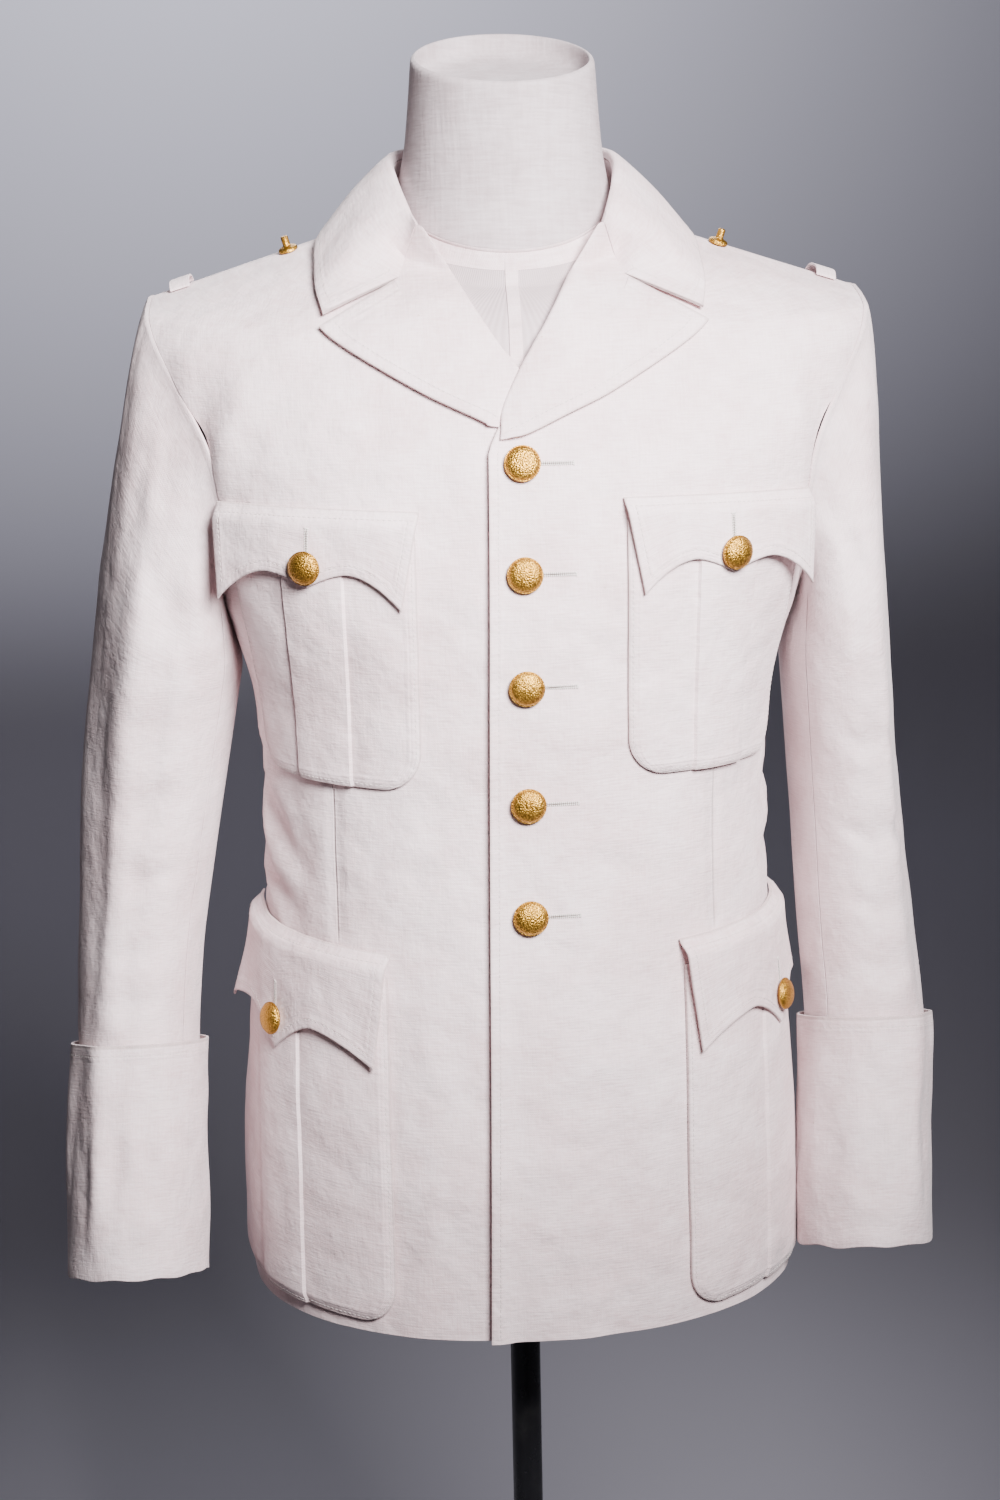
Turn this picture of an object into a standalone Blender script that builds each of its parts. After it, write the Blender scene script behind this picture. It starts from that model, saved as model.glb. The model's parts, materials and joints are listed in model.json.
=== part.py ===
"""A white summer service tunic, buttoned on a limbless dress form that stands on a pole.

Metres, +Z up. The tunic faces -Y, and the origin is on the floor, on the pole's axis.
"left" and "right" are the wearer's own: the wearer's left is at +X.
"""

import bisect
import functools
import math

import bmesh
import bpy
from mathutils import Matrix, Vector

LEFT, RIGHT = 1, -1

# Cloth and clearances
CLOTH = 0.0018
SEAM = 0.0003
LAID = 0.0008
OVERLAP_COLUMNS = "height overlap"
OVERLAPS = ((0.826, 0.0290), (1.086, 0.0235), (1.358, 0.0190))
FRONT_LIFT = CLOTH + LAID

# Heights
HEM = 0.826
ARMPIT = 1.262
SHOULDER = 1.450
NECKLINE = 1.4905
BREAK = 1.358

# The tunic's outside, ring by ring: depths are from the pole's axis, and a ring's front hangs
# lower and its back higher than its sides by the last two columns
BODY_COLUMNS = "height half_width front back squareness front_drop back_rise"
BODY = (
    (0.826, 0.178, 0.148, 0.126, 2.20, 0.000, 0.000),
    (0.900, 0.176, 0.146, 0.127, 2.20, 0.000, 0.000),
    (0.980, 0.171, 0.140, 0.121, 2.20, 0.000, 0.000),
    (1.080, 0.161, 0.129, 0.107, 2.20, 0.000, 0.000),
    (1.140, 0.159, 0.127, 0.105, 2.20, 0.000, 0.000),
    (1.200, 0.163, 0.129, 0.110, 2.20, 0.000, 0.000),
    (1.262, 0.178, 0.132, 0.118, 2.30, 0.000, 0.000),
    (1.300, 0.192, 0.131, 0.121, 2.35, 0.000, 0.000),
    (1.350, 0.208, 0.126, 0.121, 2.40, 0.002, 0.000),
    (1.400, 0.226, 0.112, 0.113, 2.35, 0.010, 0.003),
    (1.430, 0.235, 0.101, 0.104, 2.30, 0.017, 0.007),
    (1.445, 0.230, 0.095, 0.098, 2.25, 0.021, 0.010),
    (1.450, 0.216, 0.093, 0.096, 2.20, 0.022, 0.011),
    (1.4625, 0.176, 0.087, 0.090, 2.15, 0.026, 0.013),
    (1.478, 0.125, 0.078, 0.082, 2.10, 0.032, 0.015),
    (1.492, 0.078, 0.067, 0.072, 2.00, 0.038, 0.017),
)

# The armhole's distance from the middle of the body, at each height
ARMHOLE_COLUMNS = "height across"
ARMHOLE = (
    (1.262, 0.178),
    (1.300, 0.173),
    (1.350, 0.178),
    (1.400, 0.197),
    (1.430, 0.210),
    (1.445, 0.215),
    (1.450, 0.216),
)

# Rows of the body panels
HEM_ROWS = 13
ARMHOLE_ROWS = (1.262, 1.267, 1.282, 1.305, 1.335, 1.365, 1.395, 1.420, 1.438, 1.447, 1.450)
SHOULDER_ROWS = (1.455, 1.4625, 1.470, 1.478, 1.485, NECKLINE)

# Each sleeve below its armhole; a ring leans so that its front is higher than its back
SLEEVE_COLUMNS = "height centre_x centre_y half_width half_depth lean"
SLEEVES = {
    LEFT: (
        (1.215, 0.2085, 0.006, 0.0335, 0.076, 0.00),
        (1.165, 0.2128, 0.008, 0.0340, 0.072, 0.04),
        (1.100, 0.2180, 0.004, 0.0355, 0.065, 0.12),
        (1.040, 0.2215, -0.008, 0.0372, 0.059, 0.20),
        (0.990, 0.2235, -0.023, 0.0375, 0.055, 0.26),
        (0.915, 0.2190, -0.049, 0.0385, 0.051, 0.30),
        (0.851, 0.2150, -0.071, 0.0400, 0.049, 0.31),
    ),
    RIGHT: (
        (1.215, 0.2180, 0.006, 0.0460, 0.072, 0.00),
        (1.165, 0.2260, 0.008, 0.0445, 0.068, 0.04),
        (1.100, 0.2345, 0.004, 0.0410, 0.063, 0.12),
        (1.040, 0.2415, -0.008, 0.0385, 0.058, 0.20),
        (0.990, 0.2445, -0.023, 0.0378, 0.055, 0.26),
        (0.915, 0.2465, -0.049, 0.0395, 0.051, 0.30),
        (0.851, 0.2475, -0.071, 0.0412, 0.049, 0.31),
    ),
}
CAP_FULLNESS = {LEFT: 0.25, RIGHT: 0.42}
SLEEVE_COLUMNS_HALF_WAY = len(ARMHOLE_ROWS) - 1
FRONT_SEAM, BACK_SEAM = 2, 18
CAP_ROWS = 6
ARM_ROWS = 10
CUFF_TOP = 0.985
CUFF_ROWS = 6

# Roll line of lapel and collar, from the break up to the middle of the back
ROLL_COLUMNS = "x y z"
ROLL = (
    (0.055, -0.056, 1.484),
    (0.061, -0.044, 1.499),
    (0.067, -0.024, 1.516),
    (0.0695, 0.006, 1.531),
    (0.060, 0.042, 1.538),
    (0.036, 0.068, 1.541),
    (0.000, 0.076, 1.542),
)
# Outer edge of the collar's fall beside each of those, seen from above
FALL_COLUMNS = "x y"
FALL = (
    (0.1105, -0.0785),
    (0.1140, -0.0605),
    (0.1148, -0.0370),
    (0.1130, -0.0050),
    (0.1005, 0.0430),
    (0.0600, 0.0800),
    (0.0000, 0.0885),
)
FALL_CLEAR = 0.0042
NOTCH = (0.066, 1.4535)
LAPEL_TIP = (0.113, 1.428)
CROSSING = (0.000, 1.398)
LAPEL_EDGE = ((0.023, 1.3750), (0.051, 1.3885), (0.080, 1.4050), (0.102, 1.4190))
UNDER_LAPEL_END = (0.0135, 1.3715)
LAPEL_CLOTH = 0.0020
ROLL_RISE = 0.0035
FREE_FORWARD = 0.25
FREE_SOFTNESS = 0.006
GORGE_GAP = 0.0036

# Patch pockets and their flaps: girths are measured round the body from the middle of the front
CHEST = {
    "start": {LEFT: 0.060, RIGHT: 0.062}, "width": 0.125, "slope": {LEFT: 0.0, RIGHT: 0.006},
    "top": 1.318, "bottom": 1.167, "round": 0.024,
    "pleat": 0.038, "stand": 0.0012, "cloth": 0.0016, "edge": 0.004,
}
WAIST = {
    "start": {LEFT: 0.096, RIGHT: 0.087}, "width": 0.168, "slope": {LEFT: 0.008, RIGHT: 0.008},
    "top": 1.056, "bottom": 0.841, "round": 0.024,
    "pleat": 0.040, "stand": 0.0026, "cloth": 0.0022, "edge": 0.006,
}
PLEAT_RISE = 0.0012
PLEAT_STEP = 0.0010
CHEST_FLAP = {
    "start": {LEFT: 0.0575, RIGHT: 0.059}, "width": 0.128, "slope": {LEFT: 0.0, RIGHT: 0.006},
    "taper": 0.011, "top": 1.332, "corner": 0.057, "arch": 0.0375, "point": 0.046,
    "flare": {LEFT: 0.0, RIGHT: 0.0},
    "over": 0.0054, "hang": 0.85, "button": 0.034,
}
WAIST_FLAP = {
    "start": {LEFT: 0.092, RIGHT: 0.084}, "width": 0.162, "slope": {LEFT: 0.008, RIGHT: 0.010},
    "taper": 0.010, "top": 1.072, "corner": 0.069, "arch": 0.053, "point": 0.073,
    "flare": {LEFT: 0.004, RIGHT: 0.008},
    "over": 0.0086, "hang": 0.10, "button": 0.055,
}
ARCH_PLACE = 0.42

# Buttons, shoulder fittings and stand
BUTTON_HEIGHTS = (1.351, 1.2886, 1.2232, 1.1532, 1.0854)
FRONT_BUTTON_RADIUS = 0.0105
POCKET_BUTTON_RADIUS = 0.0100
BUTTON_HEIGHT = 0.0072
BUTTON_SIDES = 14
STUD_ACROSS = 0.132
LOOP_ACROSS = 0.198
LOOP_WIDTH = 0.012
LOOP_MIDDLE = 0.010
LOOP_REACH = 0.018

FORM_BOTTOM = HEM + 0.012
FORM_SIDES = 24
POLE_RADIUS = 0.0100
BASE_RADIUS = 0.190
BASE_HEIGHT = 0.012

COTTON = ("cotton_white", (0.86, 0.83, 0.80), 0.85, 0.0)
LINEN = ("form_linen", (0.80, 0.77, 0.74), 0.90, 0.0)
GILT = ("gilt_metal", (0.83, 0.58, 0.18), 0.38, 1.0)
BLACK = ("black_enamel", (0.015, 0.015, 0.017), 0.30, 0.4)


def curve_slopes(rows, column):
    """Slopes at a table's rows for a smooth curve that never overshoots them."""
    steps = [
        (b[column] - a[column]) / (b[0] - a[0])
        for a, b in zip(rows, rows[1:])
    ]
    inner = [0.0 if a * b <= 0 else 2 * a * b / (a + b) for a, b in zip(steps, steps[1:])]
    return [steps[0], *inner, steps[-1]]


@functools.lru_cache(maxsize=None)
def table_curve(rows):
    """The slopes of every column of a table but the first, which is what it is read by."""
    return [None] + [curve_slopes(rows, column) for column in range(1, len(rows[0]))]


def read_table(rows, at):
    """The other columns of a table, read smoothly between its rows at a value of its first column."""
    if rows[0][0] > rows[-1][0]:
        rows = rows[::-1]
    slopes = table_curve(rows)
    at = min(max(at, rows[0][0]), rows[-1][0])
    i = min(max(bisect.bisect_right([row[0] for row in rows], at) - 1, 0), len(rows) - 2)
    low, high = rows[i], rows[i + 1]
    span = high[0] - low[0]
    t = (at - low[0]) / span
    rise = t * t * (3 - 2 * t)
    start, end = t * (1 - t) ** 2 * span, t * t * (t - 1) * span
    return [
        low[c] * (1 - rise) + high[c] * rise + slopes[c][i] * start + slopes[c][i + 1] * end
        for c in range(1, len(low))
    ]


def soft_step(value, start, end):
    """0 before start, 1 after end, and smooth between them."""
    t = min(max((value - start) / (end - start), 0.0), 1.0)
    return t * t * (3 - 2 * t)


def blend(a, b, share):
    return a + (b - a) * share


@functools.lru_cache(maxsize=None)
def section(height):
    return read_table(BODY, height)


def ring_point(height, angle):
    """A point of the tunic's outside; angle 0 is the middle of the front and a quarter turn is +X."""
    half_width, front, back, squareness, drop, rise = section(round(height, 6))
    power = 2 / squareness
    across = math.copysign(abs(math.sin(angle)) ** power, math.sin(angle))
    ahead = math.copysign(abs(math.cos(angle)) ** power, math.cos(angle))
    if ahead > 0:
        return Vector((half_width * across, -front * ahead, height - drop * ahead))
    return Vector((half_width * across, -back * ahead, height - rise * ahead))


def ring_normal(height, angle):
    step = 0.002
    around = ring_point(height, angle + step) - ring_point(height, angle - step)
    up = ring_point(height + step, angle) - ring_point(height - step, angle)
    return around.cross(up).normalized()


@functools.lru_cache(maxsize=None)
def girth_run(height):
    """Distances round one side of a ring from the middle of the front, at even angles."""
    steps = 90
    points = [ring_point(height, math.pi * i / steps) for i in range(steps + 1)]
    run = [0.0]
    for a, b in zip(points, points[1:]):
        run.append(run[-1] + (b - a).length)
    return run


def angle_at(height, girth):
    run = girth_run(round(height, 5))
    distance = min(abs(girth), run[-1])
    i = min(max(bisect.bisect_right(run, distance) - 1, 0), len(run) - 2)
    share = (distance - run[i]) / (run[i + 1] - run[i])
    return math.copysign(math.pi * (i + share) / (len(run) - 1), girth)


def girth_at(height, angle):
    run = girth_run(round(height, 5))
    place = angle / math.pi * (len(run) - 1)
    i = min(int(place), len(run) - 2)
    return blend(run[i], run[i + 1], place - i)


def on_body(height, girth, side, out, seam_angle=None):
    """A point at a girth round the wearer's left (side 1) or right (-1), moved out of the cloth.

    Along a seam both walls are moved by the normal at the seam, so their edges stay side by side.
    """
    angle = angle_at(height, girth)
    normal = ring_normal(height, angle if seam_angle is None else seam_angle)
    point = ring_point(height, angle) + normal * out
    return Vector((side * point.x, point.y, point.z))


def ahead_share(height, across):
    half_width, _, _, squareness, _, _ = section(round(height, 6))
    return max(0.0, 1 - min(1.0, across / half_width) ** squareness) ** (1 / squareness)


def ring_through(across, height_there, back=False):
    """The ring whose front or back passes a place given by its distance across and its height."""
    low, high = height_there - 0.03, min(height_there + 0.06, NECKLINE)
    for _ in range(26):
        middle = (low + high) / 2
        _, _, _, _, drop, rise = section(round(middle, 6))
        move = rise if back else -drop
        if middle + move * ahead_share(middle, across) < height_there:
            low = middle
        else:
            high = middle
    return (low + high) / 2


def on_face(across, height, side, out, back=False):
    """A point of the front or back as seen square on, moved out of the cloth."""
    ring = ring_through(abs(across), height, back)
    half_width, _, _, squareness, _, _ = section(round(ring, 6))
    angle = math.asin(min(1.0, abs(across) / half_width) ** (squareness / 2))
    if back:
        angle = math.pi - angle
    angle = math.copysign(angle, across)
    point = ring_point(ring, angle) + ring_normal(ring, angle) * out
    return Vector((side * point.x, point.y, point.z))


def above_neckline(across, height):
    """How far a place of the lapel, seen square on, is above the body panels' neckline."""
    drop = section(NECKLINE)[4]
    return height - (NECKLINE - drop * ahead_share(NECKLINE, abs(across)))


def on_chest(across, height, side, out):
    """A point of the front, or of the lapel that stands free above the neckline."""
    point = on_face(across, height, side, out)
    above = above_neckline(across, height)
    free = (above + math.hypot(above, FREE_SOFTNESS)) / 2
    return point + Vector((0.0, -FREE_FORWARD * free, max(above, 0.0)))


def over_shoulder(across, along, out):
    """A point of the shoulders above a place in plan, moved out of the cloth."""
    low, high = 1.40, NECKLINE
    for _ in range(26):
        middle = (low + high) / 2
        half_width, front, back, squareness, _, _ = section(round(middle, 6))
        depth = front if along < 0 else back
        if (across / half_width) ** squareness + (abs(along) / depth) ** squareness < 1:
            low = middle
        else:
            high = middle
    half_width, _, _, squareness, _, _ = section(round(low, 6))
    angle = math.asin(min(1.0, across / half_width) ** (squareness / 2))
    angle = angle if along < 0 else math.pi - angle
    return ring_point(low, angle) + ring_normal(low, angle) * out


def mirrored(point, side):
    return Vector((side * point.x, point.y, point.z))


def armhole_angle(height):
    half_width, _, _, squareness, _, _ = section(round(height, 6))
    across = read_table(ARMHOLE, height)[0]
    return math.asin(min(1.0, across / half_width) ** (squareness / 2))


def outer_angle(height, back):
    """Where a front or back panel ends: the side seam, the armhole or the shoulder seam."""
    angle = armhole_angle(height) if ARMPIT < height < SHOULDER else math.pi / 2
    return math.pi - angle if back else angle


def material(name, colour, roughness, metallic):
    found = bpy.data.materials.get(name)
    if found:
        return found
    made = bpy.data.materials.new(name)
    made.use_nodes = True
    shader = made.node_tree.nodes["Principled BSDF"]
    shader.inputs["Base Color"].default_value = (*colour, 1.0)
    shader.inputs["Roughness"].default_value = roughness
    shader.inputs["Metallic"].default_value = metallic
    return made


def add_object(name, mesh, finish, sharp=40):
    made = bpy.data.objects.new(name, mesh)
    mesh.materials.append(material(*finish))
    mesh.shade_smooth()
    mesh.set_sharp_from_angle(angle=math.radians(sharp))
    PARTS.objects.link(made)
    return made


def cloth(name, columns, rows, place, finish=COTTON, closed=False):
    """A wall of cloth. A grid is bent to the wall's inside and its faces are raised to the outside.

    place(column, row, outside) gives a point of either face; closed joins the last column to the first.
    """
    sheet = bmesh.new()
    bmesh.ops.create_grid(sheet, x_segments=columns, y_segments=rows, size=0.5)
    column = sheet.verts.layers.int.new("column")
    row = sheet.verts.layers.int.new("row")
    for vertex in sheet.verts:
        vertex[column] = round((vertex.co.x + 0.5) * columns) % (columns if closed else columns + 1)
        vertex[row] = round((vertex.co.y + 0.5) * rows)
    for vertex in sheet.verts:
        vertex.co = place(vertex[column], vertex[row], False)
    if closed:
        bmesh.ops.remove_doubles(sheet, verts=sheet.verts, dist=1e-6)
    raised = bmesh.ops.extrude_face_region(sheet, geom=sheet.faces[:])
    for vertex in raised["geom"]:
        if isinstance(vertex, bmesh.types.BMVert):
            vertex.co = place(vertex[column], vertex[row], True)
    return finished(name, sheet, finish)


def finished(name, skin, finish):
    """The object made of a closed skin, its faces turned outward."""
    bmesh.ops.recalc_face_normals(skin, faces=skin.faces)
    if skin.calc_volume(signed=True) < 0:
        bmesh.ops.reverse_faces(skin, faces=skin.faces)
    mesh = bpy.data.meshes.new(name)
    skin.to_mesh(mesh)
    skin.free()
    return add_object(name, mesh, finish)


def lofted(name, columns, rows, place, finish):
    """A closed solid through rings of points, its first and last ring filled."""
    skin = bmesh.new()
    bmesh.ops.create_grid(skin, x_segments=columns, y_segments=rows, size=0.5)
    for vertex in skin.verts:
        column = round((vertex.co.x + 0.5) * columns) % columns
        vertex.co = place(column, round((vertex.co.y + 0.5) * rows))
    bmesh.ops.remove_doubles(skin, verts=skin.verts, dist=1e-6)
    bmesh.ops.holes_fill(skin, edges=skin.edges, sides=columns)
    return finished(name, skin, finish)


def turned(name, profile, steps, finish, place=None):
    """A round solid: a profile of (radius, height) from the top of its axis to the bottom, turned once."""
    mesh = bpy.data.meshes.new(name)
    mesh.from_pydata(
        [(radius, 0.0, height) for radius, height in profile],
        [(i, i + 1) for i in range(len(profile) - 1)],
        [],
    )
    made = add_object(name, mesh, finish)
    screw = made.modifiers.new("Turn", "SCREW")
    screw.steps = screw.render_steps = steps
    screw.use_merge_vertices = True
    screw.merge_threshold = 1e-5
    if place:
        made.matrix_world = place
    return made


def facing(point, normal):
    """The placement that puts a turned piece's foot at a point, with its axis along a normal."""
    return Matrix.Translation(point) @ normal.to_track_quat("Z", "Y").to_matrix().to_4x4()


def panel_rows(below):
    low = [blend(HEM, ARMPIT, i / below) for i in range(below)]
    return [*low, *ARMHOLE_ROWS, *SHOULDER_ROWS]


def roll_across(height):
    """How far the roll line is from the middle at a height of the chest; negative is past it."""
    if height < BREAK:
        return -read_table(OVERLAPS, height)[0]
    rows = ((BREAK, -OVERLAPS[-1][1]), CROSSING[::-1], (1.440, 0.0265), ROLL[0][::-2])
    return read_table(rows, height)[0]


def front_start(height):
    """Girth at which a front begins: past the middle below the break, then just inside the roll."""
    across = -OVERLAPS[-1][1]
    inside = 0.0
    for _ in range(8):
        _, _, _, _, drop, _ = section(round(height, 6))
        seen = height - drop * ahead_share(height, abs(across))
        inside = 0.003 * soft_step(seen, BREAK - 0.01, BREAK + 0.02)
        across = roll_across(seen)
    half_width, _, _, squareness, _, _ = section(round(height, 6))
    angle = math.asin(min(1.0, abs(across) / half_width) ** (squareness / 2))
    return math.copysign(girth_at(height, angle), across) + inside


def overlap_lift(girth, side):
    """The left front lies over the right one where they button."""
    return FRONT_LIFT * (1 - soft_step(girth, 0.026, 0.050)) if side == LEFT else 0.0


def build_front(side, name, columns=11):
    heights = panel_rows(HEM_ROWS)

    def place(column, row, outside):
        height = heights[row]
        seam = outer_angle(height, False)
        girth = blend(front_start(height), girth_at(height, seam) - SEAM / 2, column / columns)
        out = overlap_lift(girth, side) - (0 if outside else CLOTH)
        return on_body(height, girth, side, out, seam if column == columns else None)

    return cloth(name, columns, len(heights) - 1, place)


def build_back(side, name, columns=8):
    heights = panel_rows(HEM_ROWS)

    def place(column, row, outside):
        height = heights[row]
        seam = outer_angle(height, True)
        end = girth_run(round(height, 5))[-1] - SEAM / 2
        girth = blend(girth_at(height, seam) + SEAM / 2, end, column / columns)
        at_seam = {0: seam, columns: math.pi}.get(column)
        return on_body(height, girth, side, 0 if outside else -CLOTH, at_seam)

    return cloth(name, columns, len(heights) - 1, place)


def armhole_place(column):
    """Ring height and angle of a sleeve column: up the front of the armhole and down its back."""
    half = SLEEVE_COLUMNS_HALF_WAY
    back = column > half
    height = ARMHOLE_ROWS[2 * half - column if back else column]
    angle = armhole_angle(height)
    return height, (math.pi - angle if back else angle)


def armhole_edge(column):
    """The armhole's point at a sleeve column, the cloth's normal there and the way out of the panel."""
    height, angle = armhole_place(column)
    before, after = (
        ring_point(*armhole_place((column + step) % (2 * SLEEVE_COLUMNS_HALF_WAY)))
        for step in (-1, 1)
    )
    normal = ring_normal(height, angle)
    along = (after - before).normalized()
    return ring_point(height, angle), normal, along.cross(normal).normalized()


def arm_point(arm, height, turn, out):
    """A point of a sleeve, as if it were the left one, below the armhole.

    Turn 0 faces the body and a quarter turn the front.
    """
    centre_x, centre_y, half_width, half_depth, lean = read_table(SLEEVES[arm], height)
    x = centre_x - (half_width + out) * math.cos(turn)
    y = centre_y - (half_depth + out) * math.sin(turn)
    return Vector((x, y, height - (y - centre_y) * lean))


def sleeve_point(arm, column, row, outside):
    """A point of a sleeve, as if it were the left one, from the armhole seam down to the cuff."""
    out = 0 if outside else -CLOTH
    table = SLEEVES[arm]
    turn = math.pi * column / SLEEVE_COLUMNS_HALF_WAY
    if row > CAP_ROWS:
        share = (row - CAP_ROWS) / ARM_ROWS
        return arm_point(arm, blend(table[0][0], table[-1][0], share), turn, out)
    edge, normal, away = armhole_edge(column)
    if row < 2:
        return edge + away * (SEAM if row == 0 else 0.0025) + normal * out
    high = (1 - math.cos(turn)) / 2
    start = edge + away * 0.0025 + normal * out
    end = arm_point(arm, table[0][0], turn, out)
    leave = 0.008 - 0.002 * high + (0.020 * math.sin(turn) ** 2 + 0.002 * high) * CAP_FULLNESS[arm]
    arrive = 0.025 + 0.115 * high ** 1.5
    axis = (arm_point(arm, table[0][0] - 0.02, turn, out) - end).normalized()
    outward = Vector((blend(0.9, 0.0, high), 0, 0))
    near, far = start + (away + outward).normalized() * leave, end - axis * arrive
    t = (row - 1) / (CAP_ROWS - 1)
    return (
        start * (1 - t) ** 3
        + near * 3 * t * (1 - t) ** 2
        + far * 3 * t * t * (1 - t)
        + end * t ** 3
    )


def build_sleeve(side, word):
    rows = CAP_ROWS + ARM_ROWS
    total = 2 * SLEEVE_COLUMNS_HALF_WAY
    for part, first, last in (
        ("sleeve_upper_", FRONT_SEAM, BACK_SEAM),
        ("sleeve_under_", BACK_SEAM, FRONT_SEAM + total),
    ):
        def place(column, row, outside):
            number = (first + column) % total
            point = sleeve_point(side, number, row, outside)
            if column in (0, last - first):
                step = 1 if column == 0 else -1
                beside = sleeve_point(side, (number + step) % total, row, outside)
                point += (beside - point).normalized() * SEAM * 1.5
            return mirrored(point, side)

        cloth(part + word, last - first, rows, place)


def build_cuff(side, word):
    """The deep turned-back cuff, a sleeve round the sleeve that stands off it a little at the top."""
    columns = 2 * SLEEVE_COLUMNS_HALF_WAY

    def place(column, row, outside):
        share = row / CUFF_ROWS
        height = blend(SLEEVES[side][-1][0] - 0.001, CUFF_TOP, share)
        turn = 2 * math.pi * column / columns
        out = blend(LAID, 0.0022, share) + (CLOTH if outside else 0)
        return mirrored(arm_point(side, height, turn, out), side)

    cloth("cuff_" + word, columns, CUFF_ROWS, place, closed=True)


def polyline(points, share):
    """A point at a share of a line of points, by their number."""
    place = share * (len(points) - 1)
    i = min(int(place), len(points) - 2)
    return [blend(a, b, place - i) for a, b in zip(points[i], points[i + 1])]


def lapel_outline(side):
    """Inner edge from the bottom up, and outer edge from the bottom to the tip."""
    end = (-OVERLAPS[-1][1], BREAK + 0.002) if side == LEFT else UNDER_LAPEL_END
    inner = [end, CROSSING]
    for height in (1.418, 1.439, 1.461):
        inner.append((roll_across(height), height))
    inner.append((ROLL[0][0] - GORGE_GAP / 2, ROLL[0][2] - GORGE_GAP))
    first = (end[0] + 0.006, end[1] + 0.001)
    if side == LEFT:
        lower = [first, (0.002, 1.3655), *LAPEL_EDGE, LAPEL_TIP]
    else:
        lower = [first, *LAPEL_EDGE, LAPEL_TIP]
    return inner, lower


def build_lapel(side, word, columns=6, rows=10):
    inner, outer = lapel_outline(side)
    top = [inner[-1], NOTCH, LAPEL_TIP]

    def place(column, row, outside):
        u, v = row / rows, column / columns
        near, far, up = polyline(inner, u), polyline(outer, u), polyline(top, v)
        across, height = (
            near[k] * (1 - v) + far[k] * v + u * (up[k] - top[0][k] * (1 - v) - top[2][k] * v)
            for k in (0, 1)
        )
        roll_rise = ROLL_RISE * soft_step(near[1], 1.42, ROLL[0][2]) * (1 - v) ** 2
        out = LAID + roll_rise + overlap_lift(across, side) + 0.0015 * v * v
        return on_chest(across, height, side, out + (LAPEL_CLOTH if outside else 0))

    cloth("lapel_" + word, columns, rows, place)


def collar_station(number):
    """Roll, middle and edge of the collar's fall at a station, from the gorge to the middle back."""
    roll = Vector(ROLL[number])
    edge = over_shoulder(*FALL[number], FALL_CLEAR)
    middle = (roll + edge) / 2 + Vector((edge.x - roll.x, edge.y - roll.y, 0.0)).normalized() * 0.003
    if number == 0:
        middle = on_face(NOTCH[0] + 0.0008, NOTCH[1] + 0.0018, LEFT, 0.0052)
    return roll, middle, edge


def collar_curve(place):
    """Roll, middle and edge at a place between stations, on a smooth curve through them."""
    last = len(ROLL) - 1
    i = min(int(place), last - 1)
    t = place - i
    found = []
    for kind in range(3):
        a, b = collar_station(i)[kind], collar_station(i + 1)[kind]
        before = collar_station(i - 1)[kind] if i > 0 else a * 2 - b
        after = collar_station(i + 2)[kind] if i + 2 <= last else Vector((-a.x, a.y, a.z))
        found.append(
            0.5 * (
                2 * a + (b - before) * t
                + (2 * before - 5 * a + 4 * b - after) * t * t
                + (3 * a - before - 3 * b + after) * t ** 3
            )
        )
    return found


def build_collar_fall(half_columns=11, rows=5):
    last = len(ROLL) - 1

    def place(column, row, outside):
        side = RIGHT if column < half_columns else LEFT
        share = 1 - abs(column - half_columns) / half_columns
        roll, middle, edge = collar_curve(share * last)
        tangent = collar_curve(min(share * last + 0.2, last))[0] - roll
        if share > 0.98:
            tangent = Vector((-1.0, 0.0, 0.0))
        down = (edge - roll).normalized()
        normal = tangent.cross(down).normalized()
        normal = normal if normal.z > 0 or normal.dot(Vector((roll.x, roll.y, 0.01))) > 0 else -normal
        v = (row - 1) / (rows - 1)
        out = 0 if outside else -CLOTH
        if row == 0:
            inward = Vector((-roll.x, -roll.y, 0)).normalized()
            point = roll + inward * (0.0034 if outside else 0.0016) - Vector((0, 0, 0.005))
        elif v <= 0.5:
            point = roll.lerp(middle, v * 2) + normal * (out + 0.002 * math.sin(v * math.pi * 2) * 0.5)
        else:
            point = middle.lerp(edge, v * 2 - 1) + normal * out
        return mirrored(point, side)

    cloth("collar_fall", 2 * half_columns, rows, place)


def build_collar_stand(half_columns=11, rows=3):
    """The band between the neckline and the roll, from one gorge round the back to the other."""
    last = len(ROLL) - 1
    start = girth_at(NECKLINE, math.radians(47))
    end = girth_run(round(NECKLINE, 5))[-1]

    def place(column, row, outside):
        side = RIGHT if column < half_columns else LEFT
        share = 1 - abs(column - half_columns) / half_columns
        roll = collar_curve(share * last)[0]
        inward = Vector((-roll.x, -roll.y, 0)).normalized()
        top = roll + inward * (0.0016 if outside else 0.0034) - Vector((0, 0, 0.0056))
        foot = on_body(NECKLINE, blend(start, end, share), LEFT, -0.0002 if outside else -CLOTH - 0.0002)
        foot.z += 0.0022
        return mirrored(foot.lerp(top, row / rows), side)

    cloth("collar_stand", 2 * half_columns, rows, place)


def pocket_columns(pocket):
    """Girths of a pocket's columns from its edge, with close pairs at the pleat's two folds."""
    width, pleat, edge = pocket["width"], pocket["pleat"], pocket["edge"]
    fold = (width - pleat) / 2
    half = [0.0, edge, edge + (fold - edge) * 0.5, fold - PLEAT_STEP, fold]
    return [*half, width / 2, *(width - place for place in half[::-1])]


def pocket_rows(pocket):
    height, corner = pocket["top"] - pocket["bottom"], pocket["round"]
    turns = [corner * (1 - math.cos(math.radians(angle))) for angle in (0, 20, 45, 70)]
    above = [blend(corner, height, i / 4) for i in range(5)]
    return [*turns, *above]


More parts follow.
